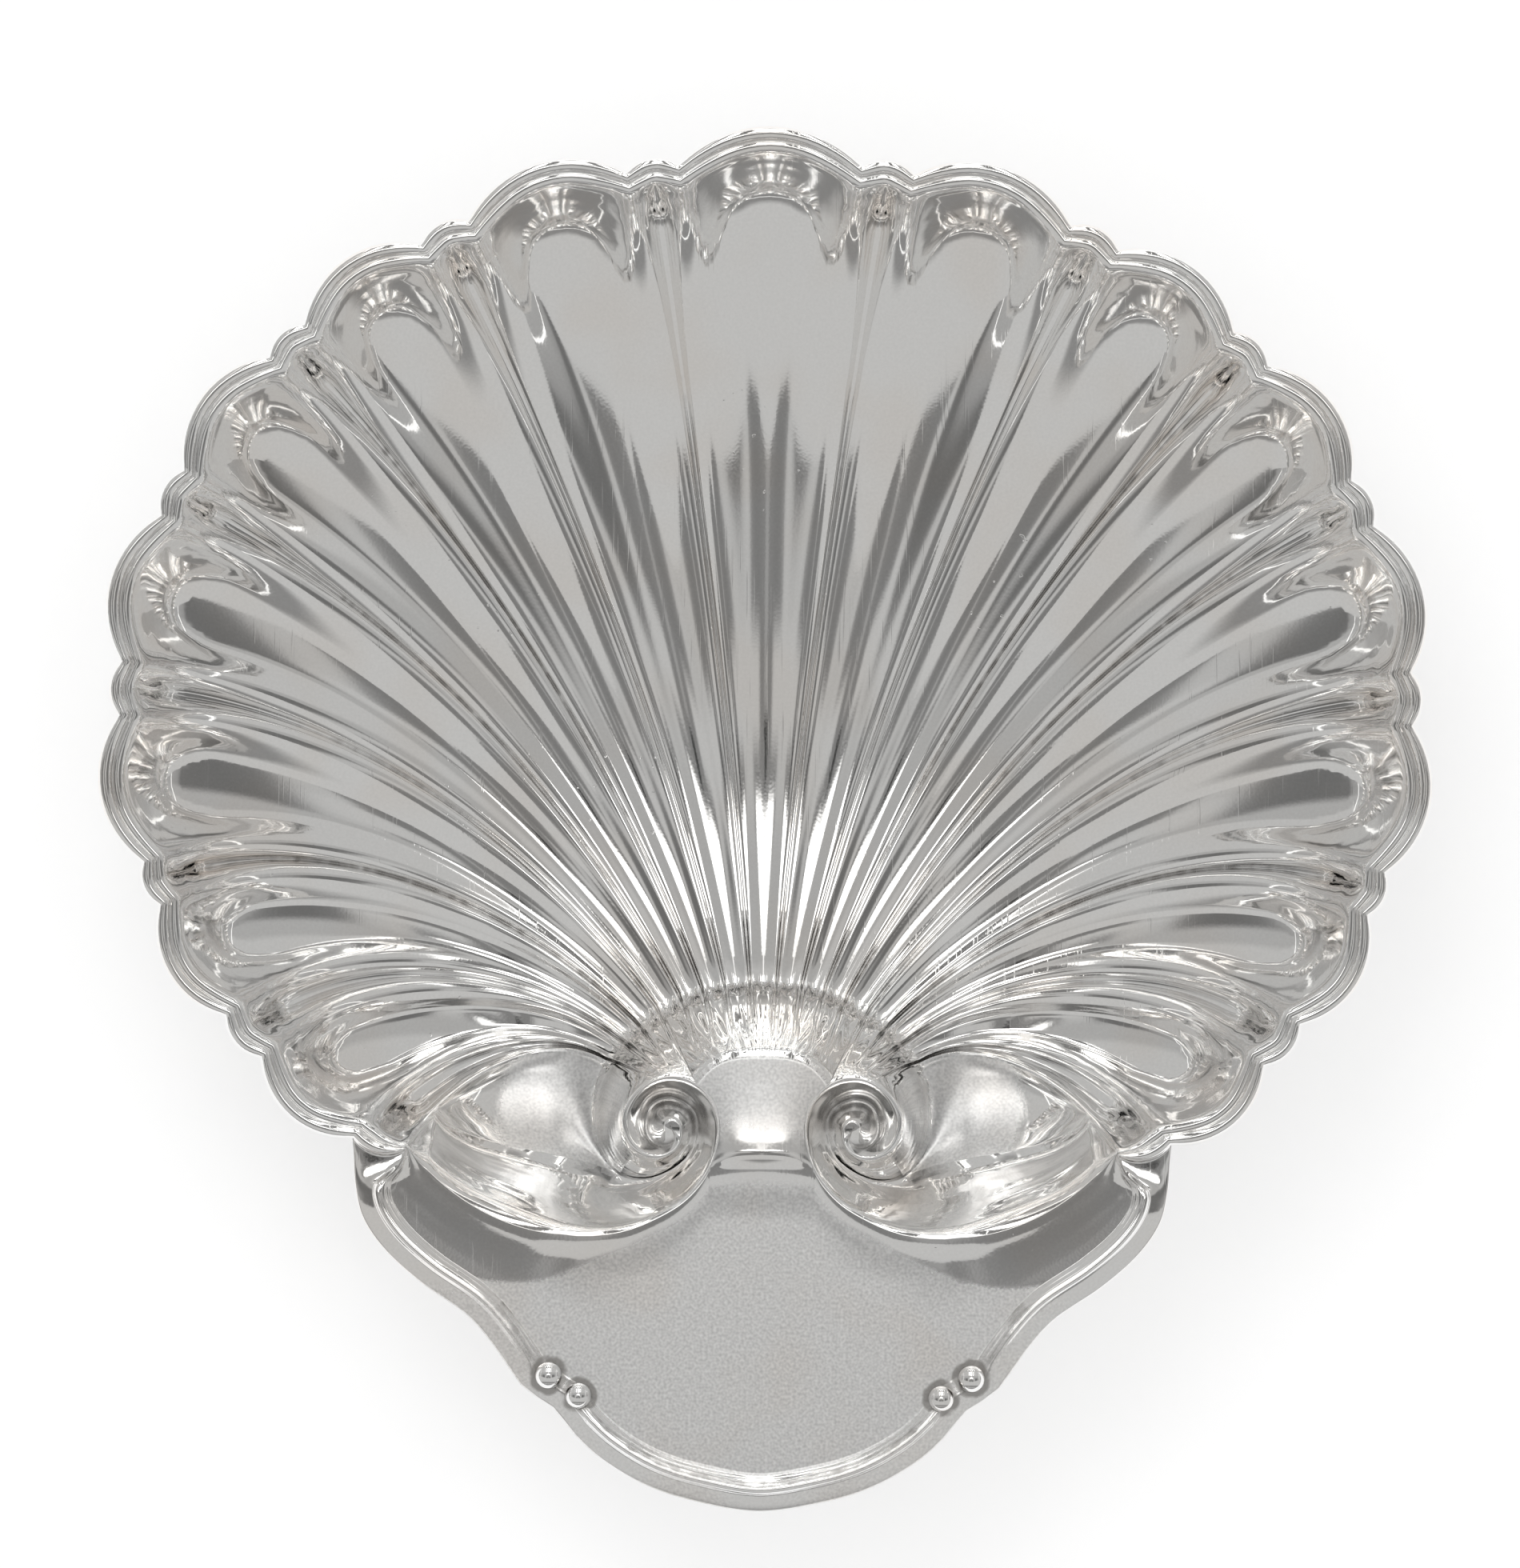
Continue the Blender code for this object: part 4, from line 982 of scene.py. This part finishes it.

# %% [markdown]
# Silver is a mirror with marks on it. Marks that more than one finish needs are built once
# as node groups: hairline scratches from cleaning, small pits, and tarnish with painted shade in
# the hollows.

# %% Node helpers
def feed(tree, target, value):
    """Join a socket to an input, or set the input to a number."""
    if isinstance(value, bpy.types.NodeSocket):
        tree.links.new(value, target)
    else:
        target.default_value = value


def node(tree, kind, **settings):
    """Add a node. A name with a capital letter is an input, any other a setting."""
    made = tree.nodes.new(kind)
    for key, value in settings.items():
        if key[0].isupper():
            feed(tree, made.inputs[key], value)
        else:
            setattr(made, key, value)
    return made


def calc(tree, operation, *values, clamp=False):
    made = node(tree, "ShaderNodeMath", operation=operation, use_clamp=clamp)
    for target, value in zip(made.inputs, values):
        feed(tree, target, value)
    return made.outputs[0]


def times(tree, product, *factors):
    for factor in factors:
        product = calc(tree, "MULTIPLY", product, factor)
    return product


def length_of(tree, x, y):
    return calc(tree, "SQRT", calc(tree, "MULTIPLY_ADD", y, y, calc(tree, "MULTIPLY", x, x)))


def grey_of(tree, value, shares=(1.0, 1.0, 1.0)):
    """A colour from one value, with each channel's share of it."""
    made = node(tree, "ShaderNodeCombineColor")
    for channel, share in zip(("Red", "Green", "Blue"), shares):
        feed(tree, made.inputs[channel], calc(tree, "MULTIPLY", value, share))
    return made.outputs[0]


def ramp(tree, value, low, high, to_low=0.0, to_high=1.0):
    """Ease a value from to_low to to_high as it passes from low to high."""
    made = node(tree, "ShaderNodeMapRange", interpolation_type="SMOOTHSTEP")
    for name, number in (("From Min", low), ("From Max", high), ("To Min", to_low),
                         ("To Max", to_high)):
        feed(tree, made.inputs[name], number)
    feed(tree, made.inputs["Value"], value)
    return made.outputs[0]


def new_group(name, inputs, outputs):
    """A shader group with the given sockets; returns the group and its two end nodes."""
    group = bpy.data.node_groups.new(name, "ShaderNodeTree")
    for label, kind, number in inputs:
        socket = group.interface.new_socket(label, in_out="INPUT", socket_type=kind)
        socket.default_value = number
    for label, kind in outputs:
        group.interface.new_socket(label, in_out="OUTPUT", socket_type=kind)
    return group, group.nodes.new("NodeGroupInput"), group.nodes.new("NodeGroupOutput")


# %% [markdown]
# Cleaning leaves two families of hairlines that cross. A noise stretched about forty times
# along one axis gives them, and only its highest values are kept, so that they stay rare.
# Pits are the highest values of a fine even noise. Each kind gathers in its own patches.

# %% Group: cleaning scratches and pits
HAIRLINE_TURNS = (0.5, 2.2)
HAIRLINE_SCALE = (2200.0, 60.0, 60.0)
PATCH_SCALE = 38.0
PIT_SCALE = 900.0
PIT_DEPTH = 3.0


def noise_of(tree, vector, scale, detail):
    made = node(tree, "ShaderNodeTexNoise", Vector=vector, Scale=scale, Detail=detail)
    return made.outputs["Fac"]


def build_cleaning_marks():
    """Fine height and roughness marks on Object coordinates."""
    group, source, result = new_group(
        "cleaning_marks", (("Density", "NodeSocketFloat", 1.0), ("Pits", "NodeSocketFloat", 1.0)),
        (("Height", "NodeSocketFloat"), ("Mask", "NodeSocketFloat")))
    place = node(group, "ShaderNodeTexCoord").outputs["Object"]
    lines = 0.0
    for number, turn in enumerate(HAIRLINE_TURNS):
        mapping = node(group, "ShaderNodeMapping", Vector=place, Scale=HAIRLINE_SCALE,
                       Rotation=(0.0, 0.0, turn), Location=(number * 3.7, number * 1.3, 0.0))
        lines = calc(group, "ADD", lines,
                     ramp(group, noise_of(group, mapping.outputs[0], 1.0, 0.0), 0.72, 0.80))
    patch = noise_of(group, place, PATCH_SCALE, 0.0)
    lines = times(group, lines, ramp(group, patch, 0.45, 0.65), source.outputs["Density"])
    pits = ramp(group, noise_of(group, place, PIT_SCALE, 0.0), 0.80, 0.86)
    pits = times(group, pits, ramp(group, patch, 0.40, 0.30), source.outputs["Pits"])
    height = calc(group, "MULTIPLY_ADD", pits, PIT_DEPTH, lines)
    group.links.new(calc(group, "MULTIPLY", height, -1.0), result.inputs["Height"])
    mask = calc(group, "MULTIPLY_ADD", lines, 0.5, pits, clamp=True)
    group.links.new(mask, result.inputs["Mask"])
    return group


CLEANING_MARKS = build_cleaning_marks()

# %% [markdown]
# Tarnish follows the hollow mark of the mesh, broken up by noise. Two places are darkened more: a
# ring round each ball terminal, which is painted shade at the ball's foot, and the floor of each
# scroll, where tarnish and painted shade are added. They are found by distance, on
# coordinates without their sign, so that one point serves the left and the right side.

# %% Group: tarnish and painted shade in hollows
SCROLL_MIDDLE = (SCROLL[0], SCROLL[1] + SHIFT[1], SHIFT[2] - 0.004)
SCROLL_TARNISH_AND_SHADE = 0.42
RING_PAINTED_SHADE = 1.2


def distance_from(tree, place, point):
    """Distance to a point or to its mirror image on the other side."""
    folded = node(tree, "ShaderNodeVectorMath", operation="ABSOLUTE", Vector=place)
    away = node(tree, "ShaderNodeVectorMath", operation="DISTANCE")
    tree.links.new(folded.outputs[0], away.inputs[0])
    away.inputs[1].default_value = [abs(number) for number in point]
    return away.outputs["Value"]


def build_tarnish_and_shade():
    """How much tarnish and painted shade darken each point of the metal."""
    group, source, result = new_group(
        "hollow_tarnish_and_shade", (("Start", "NodeSocketFloat", 0.3), ("Strength", "NodeSocketFloat", 1.0)),
        (("Mask", "NodeSocketFloat"),))
    hollow_value = node(group, "ShaderNodeAttribute", attribute_name="hollow").outputs["Fac"]
    place = node(group, "ShaderNodeTexCoord").outputs["Object"]
    # A dark ring round the foot of each ball terminal is painted shade, on the plate and on the
    # ball's underside
    for ball in terminals[1::2]:
        low, high = (Vector(ball.bound_box[corner]) for corner in (0, 6))
        radius = (high.x - low.x) / 2.0
        foot = ((low.x + high.x) / 2.0, (low.y + high.y) / 2.0, low.z)
        ring = ramp(group, distance_from(group, place, foot), radius * 2.0, radius * 0.95,
                    0.0, RING_PAINTED_SHADE)
        hollow_value = calc(group, "MAXIMUM", hollow_value, ring)
    # The scroll's floor gets more tarnish and painted shade, which darken the recess
    in_scroll = ramp(group, distance_from(group, place, SCROLL_MIDDLE), SCROLL_SIZE * 1.05,
                     SCROLL_SIZE * 0.55)
    more = calc(group, "ADD", hollow_value, SCROLL_TARNISH_AND_SHADE)
    hollow_value = calc(group, "MULTIPLY_ADD", more, in_scroll, hollow_value)
    uneven = calc(group, "MULTIPLY_ADD", noise_of(group, place, 420.0, 1.0), 1.2, -0.6)
    value = calc(group, "MULTIPLY_ADD", hollow_value, calc(group, "ADD", uneven, 1.0),
                 calc(group, "MULTIPLY", source.outputs["Start"], -1.0))
    value = ramp(group, value, 0.0, 0.5)
    value = calc(group, "MULTIPLY", value, source.outputs["Strength"], clamp=True)
    group.links.new(value, result.inputs["Mask"])
    return group


HOLLOW_TARNISH_AND_SHADE = build_tarnish_and_shade()

# %% [markdown]
# Stamping leaves the steep walls slightly wavy. The waves follow the walls round, like the
# lines of height on a map, so a noise that changes fast with height and slowly across makes
# them. On the wall of the arch they run up and down instead, along the metal's drawing.

# %% Group: ripples of the stamped walls
ARCH_REACH = 0.036
CONTOUR_SCALE = (60.0, 60.0, 380.0)
STREAKS_ROUND = 11.0
STREAKS_UP = 70.0
STREAK_HEIGHT = 7.0


def build_ripples():
    """Height of the ripples, only where the surface is steep."""
    group, source, result = new_group(
        "wall_ripples", (("Strength", "NodeSocketFloat", 1.0),), (("Height", "NodeSocketFloat"),))
    place = node(group, "ShaderNodeTexCoord").outputs["Object"]
    steep = node(group, "ShaderNodeAttribute", attribute_name="steep").outputs["Fac"]
    level = node(group, "ShaderNodeMapping", Vector=place, Scale=CONTOUR_SCALE)
    split = node(group, "ShaderNodeSeparateXYZ", Vector=place)
    behind = calc(group, "SUBTRACT", split.outputs["Y"], HINGE_Y + SHIFT[1])
    contour = times(group, noise_of(group, level.outputs[0], 1.0, 0.0),
                    ramp(group, steep, 0.08, 0.30), ramp(group, behind, -0.004, -0.012, 1.1, 2.4))
    turn = calc(group, "ARCTAN2", split.outputs["X"], behind)
    away = length_of(group, split.outputs["X"], behind)
    round_arch = node(group, "ShaderNodeCombineXYZ", X=times(group, turn, STREAKS_ROUND),
                      Z=times(group, split.outputs["Z"], STREAKS_UP))
    streak = noise_of(group, round_arch.outputs[0], 1.0, 0.0)
    near = times(group, ramp(group, away, ARCH_REACH, ARCH_REACH - 0.003),
                 ramp(group, steep, 0.12, 0.40), ramp(group, behind, -0.004, 0.004))
    height = calc(group, "ADD", contour, times(group, near, STREAK_HEIGHT, streak))
    outside = ramp(group, distance_from(group, place, SCROLL_MIDDLE), SCROLL_SIZE * 0.95,
                   SCROLL_SIZE * 1.25)
    height = times(group, height, outside, source.outputs["Strength"])
    group.links.new(height, result.inputs["Height"])
    return group


WALL_RIPPLES = build_ripples()
print("groups:", CLEANING_MARKS.name, HOLLOW_TARNISH_AND_SHADE.name, WALL_RIPPLES.name)

# %% [markdown]
# One recipe serves the body, the terminals and the feet, with its own values for each. The
# colour of silver is nearly white and slightly warm; a second reflection between two walls
# makes it warmer by itself. Bump carries what is too fine to model.

# %% Silver
SILVER_COLOUR = (0.925, 0.921, 0.914)
FEET_COLOUR = (0.90, 0.890, 0.872)
WARMTH = (0.985, 0.963, 0.943)
TARNISH_AND_SHADE_COLOUR = (0.22, 0.205, 0.19, 1.0)
TARNISH_AND_SHADE_START = 0.42
CLOUD_SCALE = 55.0
GRAIN_SCALE = 1900.0
SATIN_METAL = -0.13
GRAIN_ROUGH, SATIN_ROUGH, MARK_ROUGH, TARNISH_AND_SHADE_ROUGH = 0.06, 0.24, 0.10, 0.30
GRAIN_BUMP, MARK_BUMP = 0.35, 0.12
BUMP_DISTANCE = 0.00005


def mix_colour(tree, low, high, share, way="MIX"):
    made = node(tree, "ShaderNodeMix", data_type="RGBA", blend_type=way, A=low, B=high,
                Factor=share)
    return made.outputs["Result"]


def group_node(tree, group, **numbers):
    return node(tree, "ShaderNodeGroup", node_tree=group, **numbers).outputs


def silver(name, colour, rough, marks, pits, tarnish, ripples=0.0):
    """Silver of one finish: its roughness and how much of each kind of mark it carries."""
    material = bpy.data.materials.new(name)
    material.use_nodes = True
    tree = material.node_tree
    shader = tree.nodes["Principled BSDF"]
    wear = group_node(tree, CLEANING_MARKS, Density=marks, Pits=pits)
    # The dark mask holds tarnish and, round the ball terminals and in the scrolls, painted shade;
    # the tarnish argument scales both
    dark = group_node(tree, HOLLOW_TARNISH_AND_SHADE, Start=TARNISH_AND_SHADE_START, Strength=tarnish)["Mask"]
    place = node(tree, "ShaderNodeTexCoord").outputs["Object"]
    cloud = noise_of(tree, place, CLOUD_SCALE, 1.0)
    fine = noise_of(tree, place, GRAIN_SCALE, 0.0)

    # Satin is the mesh's mark with a cloudy border
    satin = node(tree, "ShaderNodeAttribute", attribute_name="satin").outputs["Fac"]
    satin = calc(tree, "MULTIPLY_ADD", cloud, 0.40, calc(tree, "SUBTRACT", satin, 0.20))
    satin = ramp(tree, satin, 0.40, 0.62)

    # Colour: warmer in clouds, grainy where it is satin, dark where it is tarnished and where shade
    # is painted
    warm = tuple(channel * share for channel, share in zip(colour, WARMTH))
    base = mix_colour(tree, (*colour, 1.0), (*warm, 1.0), ramp(tree, cloud, 0.40, 0.70))
    grain = grey_of(tree, calc(tree, "MULTIPLY_ADD", fine, 0.40, 0.71))
    grained = calc(tree, "MULTIPLY_ADD", satin, 0.85, 0.15)
    base = mix_colour(tree, base, grain, grained, "MULTIPLY")
    base = mix_colour(tree, base, TARNISH_AND_SHADE_COLOUR, dark)
    tree.links.new(base, shader.inputs["Base Color"])
    feed(tree, shader.inputs["Metallic"], calc(tree, "MULTIPLY_ADD", satin, SATIN_METAL, 1.0))

    # Roughness: each mark adds its share
    roughness = rough - GRAIN_ROUGH / 2.0
    for mark, share in ((fine, GRAIN_ROUGH), (satin, SATIN_ROUGH), (wear["Mask"], MARK_ROUGH)):
        roughness = calc(tree, "MULTIPLY_ADD", mark, share, roughness)
    roughness = calc(tree, "MULTIPLY_ADD", dark, TARNISH_AND_SHADE_ROUGH, roughness, clamp=True)
    tree.links.new(roughness, shader.inputs["Roughness"])

    # Bump: grain and scratches, and the ripples where the finish has them
    height = calc(tree, "MULTIPLY_ADD", fine, GRAIN_BUMP, wear["Height"])
    height = calc(tree, "MULTIPLY", height, MARK_BUMP)
    if ripples:
        waves = group_node(tree, WALL_RIPPLES, Strength=ripples)
        height = calc(tree, "ADD", height, waves["Height"])
    bump = node(tree, "ShaderNodeBump", Strength=1.0, Distance=BUMP_DISTANCE, Height=height)
    tree.links.new(bump.outputs["Normal"], shader.inputs["Normal"])
    return material


BODY_SILVER = silver("polished_silver", SILVER_COLOUR, rough=0.065, marks=0.8, pits=1.2,
                     tarnish=0.65, ripples=1.0)
TERMINAL_SILVER = silver("terminal_silver", SILVER_COLOUR, rough=0.08, marks=0.3, pits=0.4,
                         tarnish=1.0)
FEET_SILVER = silver("feet_silver", FEET_COLOUR, rough=0.14, marks=1.0, pits=1.0, tarnish=1.0)

for material, pieces in ((BODY_SILVER, [body]), (TERMINAL_SILVER, terminals),
                         (FEET_SILVER, feet)):
    for piece in pieces:
        piece.data.materials.clear()
        piece.data.materials.append(material)
print("materials:", [m.name for m in (BODY_SILVER, TERMINAL_SILVER, FEET_SILVER)])

# %% [markdown]
# A mirror has no look of its own: what it shows is the room. In a studio the room is built
# for it. For a camera that looks straight down, each slope of the metal shows one
# direction of the room, so the room is designed slope by slope. First come the slopes and
# a few helpers that draw with them.

# %% World: slopes
world = bpy.data.worlds.new("studio")
bpy.context.scene.world = world
world.use_nodes = True
room = world.node_tree
room.nodes.clear()

looking = node(room, "ShaderNodeTexCoord").outputs["Generated"]
axes = node(room, "ShaderNodeSeparateXYZ", Vector=looking)
# The slope of the metal that mirrors this direction up to the camera
spread = calc(room, "SQRT", calc(room, "MULTIPLY_ADD", axes.outputs["Z"], 2.0, 2.02))
slope_x = calc(room, "DIVIDE", axes.outputs["X"], spread)
slope_y = calc(room, "DIVIDE", axes.outputs["Y"], spread)
aside = calc(room, "ABSOLUTE", slope_x)


def curve_of(value, points):
    """A value read from a short list of stops."""
    made = node(room, "ShaderNodeFloatCurve", Value=value)
    line = made.mapping.curves[0].points
    for number, (at, level) in enumerate(points):
        if number < 2:
            line[number].location = (at, level)
        else:
            line.new(at, level)
    made.mapping.update()
    return made.outputs[0]


def blend(low, high, share):
    """Go from one brightness to another."""
    made = node(room, "ShaderNodeMix", data_type="FLOAT", A=low, B=high, Factor=share)
    return made.outputs["Result"]


def tube(value, middle, half, soft=0.012):
    """A lit tube: bright where the value is within half of the middle."""
    away = calc(room, "ABSOLUTE", calc(room, "SUBTRACT", value, middle))
    return ramp(room, away, half + soft, half)


print("world:", world.name)

# %% [markdown]
# Overhead hang the dark camera and its arm, with a bright strip bent round them and a pale
# ceiling beyond. The far end has a window with bars and a wall with lit tubes, which put the
# sparkle on the wall of the arch. Towards the handle stands a plain grey wall.

# %% World: the room
# Brightness overhead, by how far the slope turns aside
OVERHEAD = ((0.0, 0.24), (0.11, 0.21), (0.155, 0.28), (0.195, 0.48), (0.23, 0.46), (0.29, 0.18),
            (0.36, 0.16), (0.46, 0.32), (1.0, 0.36))
tubes = calc(room, "MAXIMUM", tube(aside, 0.065, 0.012, 0.008), tube(aside, 0.25, 0.012, 0.008))
tubes = calc(room, "MAXIMUM", tubes, tube(slope_y, 0.68, 0.012, 0.008))
far_wall = blend(0.32, 2.1, tubes)
bars = ramp(room, calc(room, "SINE", calc(room, "MULTIPLY", aside, 60.0)), 0.0, 0.15)
window = blend(0.20, 2.6, bars)
from_level = calc(room, "ABSOLUTE", calc(room, "ADD", slope_y, 0.02))
ring = length_of(room, slope_x, slope_y)
# Each zone has a brightness and the edges between which it lies; a later zone covers an
# earlier one
ZONES = (
    # pale strips on both sides of the camera
    (0.52, ((from_level, 0.055, 0.015), (aside, 0.035, 0.085), (aside, 0.27, 0.20))),
    # the camera's arm
    (0.33, ((aside, 0.016, 0.008), (slope_y, 0.0, -0.02))),
    # the ceiling, paler in two steps
    (0.42, ((slope_y, 0.04, 0.10),)),
    (0.52, ((slope_y, 0.18, 0.26),)),
    # the far wall with its lit tubes, and the window with bars before it
    (far_wall, ((slope_y, 0.56, 0.62),)),
    (window, ((aside, 0.24, 0.20), (slope_y, 0.27, 0.29), (slope_y, 0.56, 0.53))),
    # a strip light bent round the camera, and a narrow slit behind it
    (2.6, ((ring, 0.050, 0.066), (ring, 0.165, 0.125), (slope_y, 0.036, 0.066))),
    (1.1, ((aside, 0.024, 0.010), (slope_y, 0.04, 0.07), (slope_y, 0.34, 0.28))),
    # the dark camera
    (0.05, ((aside, 0.018, 0.008), (slope_y, -0.010, 0.002), (slope_y, 0.044, 0.030))))
tone = curve_of(aside, OVERHEAD)
for level, edges in ZONES:
    tone = blend(tone, level, times(room, *(ramp(room, *edge) for edge in edges)))
tone = blend(tone, 1.3, tube(aside, 0.56, 0.005, 0.006))

# The near wall starts below an edge that climbs to both sides and has a peak in the middle
climb = calc(room, "MAXIMUM", calc(room, "SUBTRACT", aside, 0.10), 0.0)
wall_edge_at = calc(room, "MULTIPLY_ADD", climb, 0.25, -0.186)
wall_edge_at = calc(room, "MULTIPLY_ADD", ramp(room, aside, 0.05, 0.0), 0.034, wall_edge_at)
above_edge = ramp(room, calc(room, "SUBTRACT", slope_y, wall_edge_at), -0.004, 0.006)
near_wall = blend(0.55, 0.26, ramp(room, slope_y, -0.40, -0.52))
near_wall = blend(near_wall, 1.3, tube(slope_y, -0.60, 0.003, 0.004))
room_light = blend(near_wall, tone, above_edge)
print("world:", len(ZONES), "zones")

# %% [markdown]
# Each kind of ray sees a different world: the metal sees the room, the camera sees plain
# white, and everything else is lit by an even grey, which keeps the paper free of patterns.

# %% World: what each ray sees
FILL_COLOUR = (0.85, 0.85, 0.85, 1.0)
ROOM_TINT = (1.0, 0.995, 0.98)


def background(colour):
    return node(room, "ShaderNodeBackground", Color=colour).outputs[0]


def either(low, high, share):
    """One shader or another, by a kind of ray."""
    made = node(room, "ShaderNodeMixShader")
    for target, value in zip(made.inputs, (share, low, high)):
        feed(room, target, value)
    return made.outputs[0]


ways = node(room, "ShaderNodeLightPath").outputs
lit = either(background(FILL_COLOUR), background(grey_of(room, room_light, ROOM_TINT)),
             ways["Is Glossy Ray"])
lit = either(lit, background((1.0, 1.0, 1.0, 1.0)), ways["Is Camera Ray"])
node(room, "ShaderNodeOutputWorld", Surface=lit)
print("world:", len(room.nodes), "nodes")

# %% [markdown]
# The floor is a plain pale sheet. Seen by the camera or in the metal it is lifted to white
# by a little emission, so the background stays clean and the dish keeps its shadow on it.

# %% Floor and light
PAPER_COLOUR = (0.78, 0.78, 0.78, 1.0)
PAPER_GLOW = 0.34

deselect()
bpy.ops.mesh.primitive_plane_add(size=6.0, location=(0.0, 0.0, 0.0))
floor = bpy.context.object
floor.name = "floor"
floor_paint = bpy.data.materials.new("floor_paper")
floor_paint.use_nodes = True
paper = floor_paint.node_tree
cover = paper.nodes["Principled BSDF"]
cover.inputs["Base Color"].default_value = PAPER_COLOUR
cover.inputs["Roughness"].default_value = 0.9
cover.inputs["Specular IOR Level"].default_value = 0.0
floor_ways = node(paper, "ShaderNodeLightPath").outputs
seen = calc(paper, "ADD", floor_ways["Is Camera Ray"], floor_ways["Is Glossy Ray"])
seen = calc(paper, "ADD", seen, floor_ways["Is Transmission Ray"], clamp=True)
paper.links.new(calc(paper, "MULTIPLY", seen, PAPER_GLOW), cover.inputs["Emission Strength"])
cover.inputs["Emission Color"].default_value = (1.0, 1.0, 1.0, 1.0)
floor.data.materials.append(floor_paint)

bpy.ops.object.light_add(type="AREA", location=(-0.5, 1.1, 1.7),
                         rotation=(math.radians(-33.0), math.radians(-15.0), 0.0))
softbox_lamp = bpy.context.object
softbox_lamp.name = "softbox"
softbox_lamp.data.shape = "RECTANGLE"
softbox_lamp.data.size = 1.2
softbox_lamp.data.size_y = 0.8
softbox_lamp.data.energy = 5.0
softbox_lamp.visible_glossy = False
print("floor and softbox in place")

# %% [markdown]
# The view transform stays plain, so that a colour renders about as it is written. The
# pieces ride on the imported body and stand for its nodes.

# %% Finish
scene = bpy.context.scene
scene.view_settings.view_transform = "Standard"
for obj in [body] + terminals + feet:
    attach(obj, "root")
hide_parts("dish_body")
for foot in feet:
    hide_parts(foot.name.replace("ball_foot", "foot"))
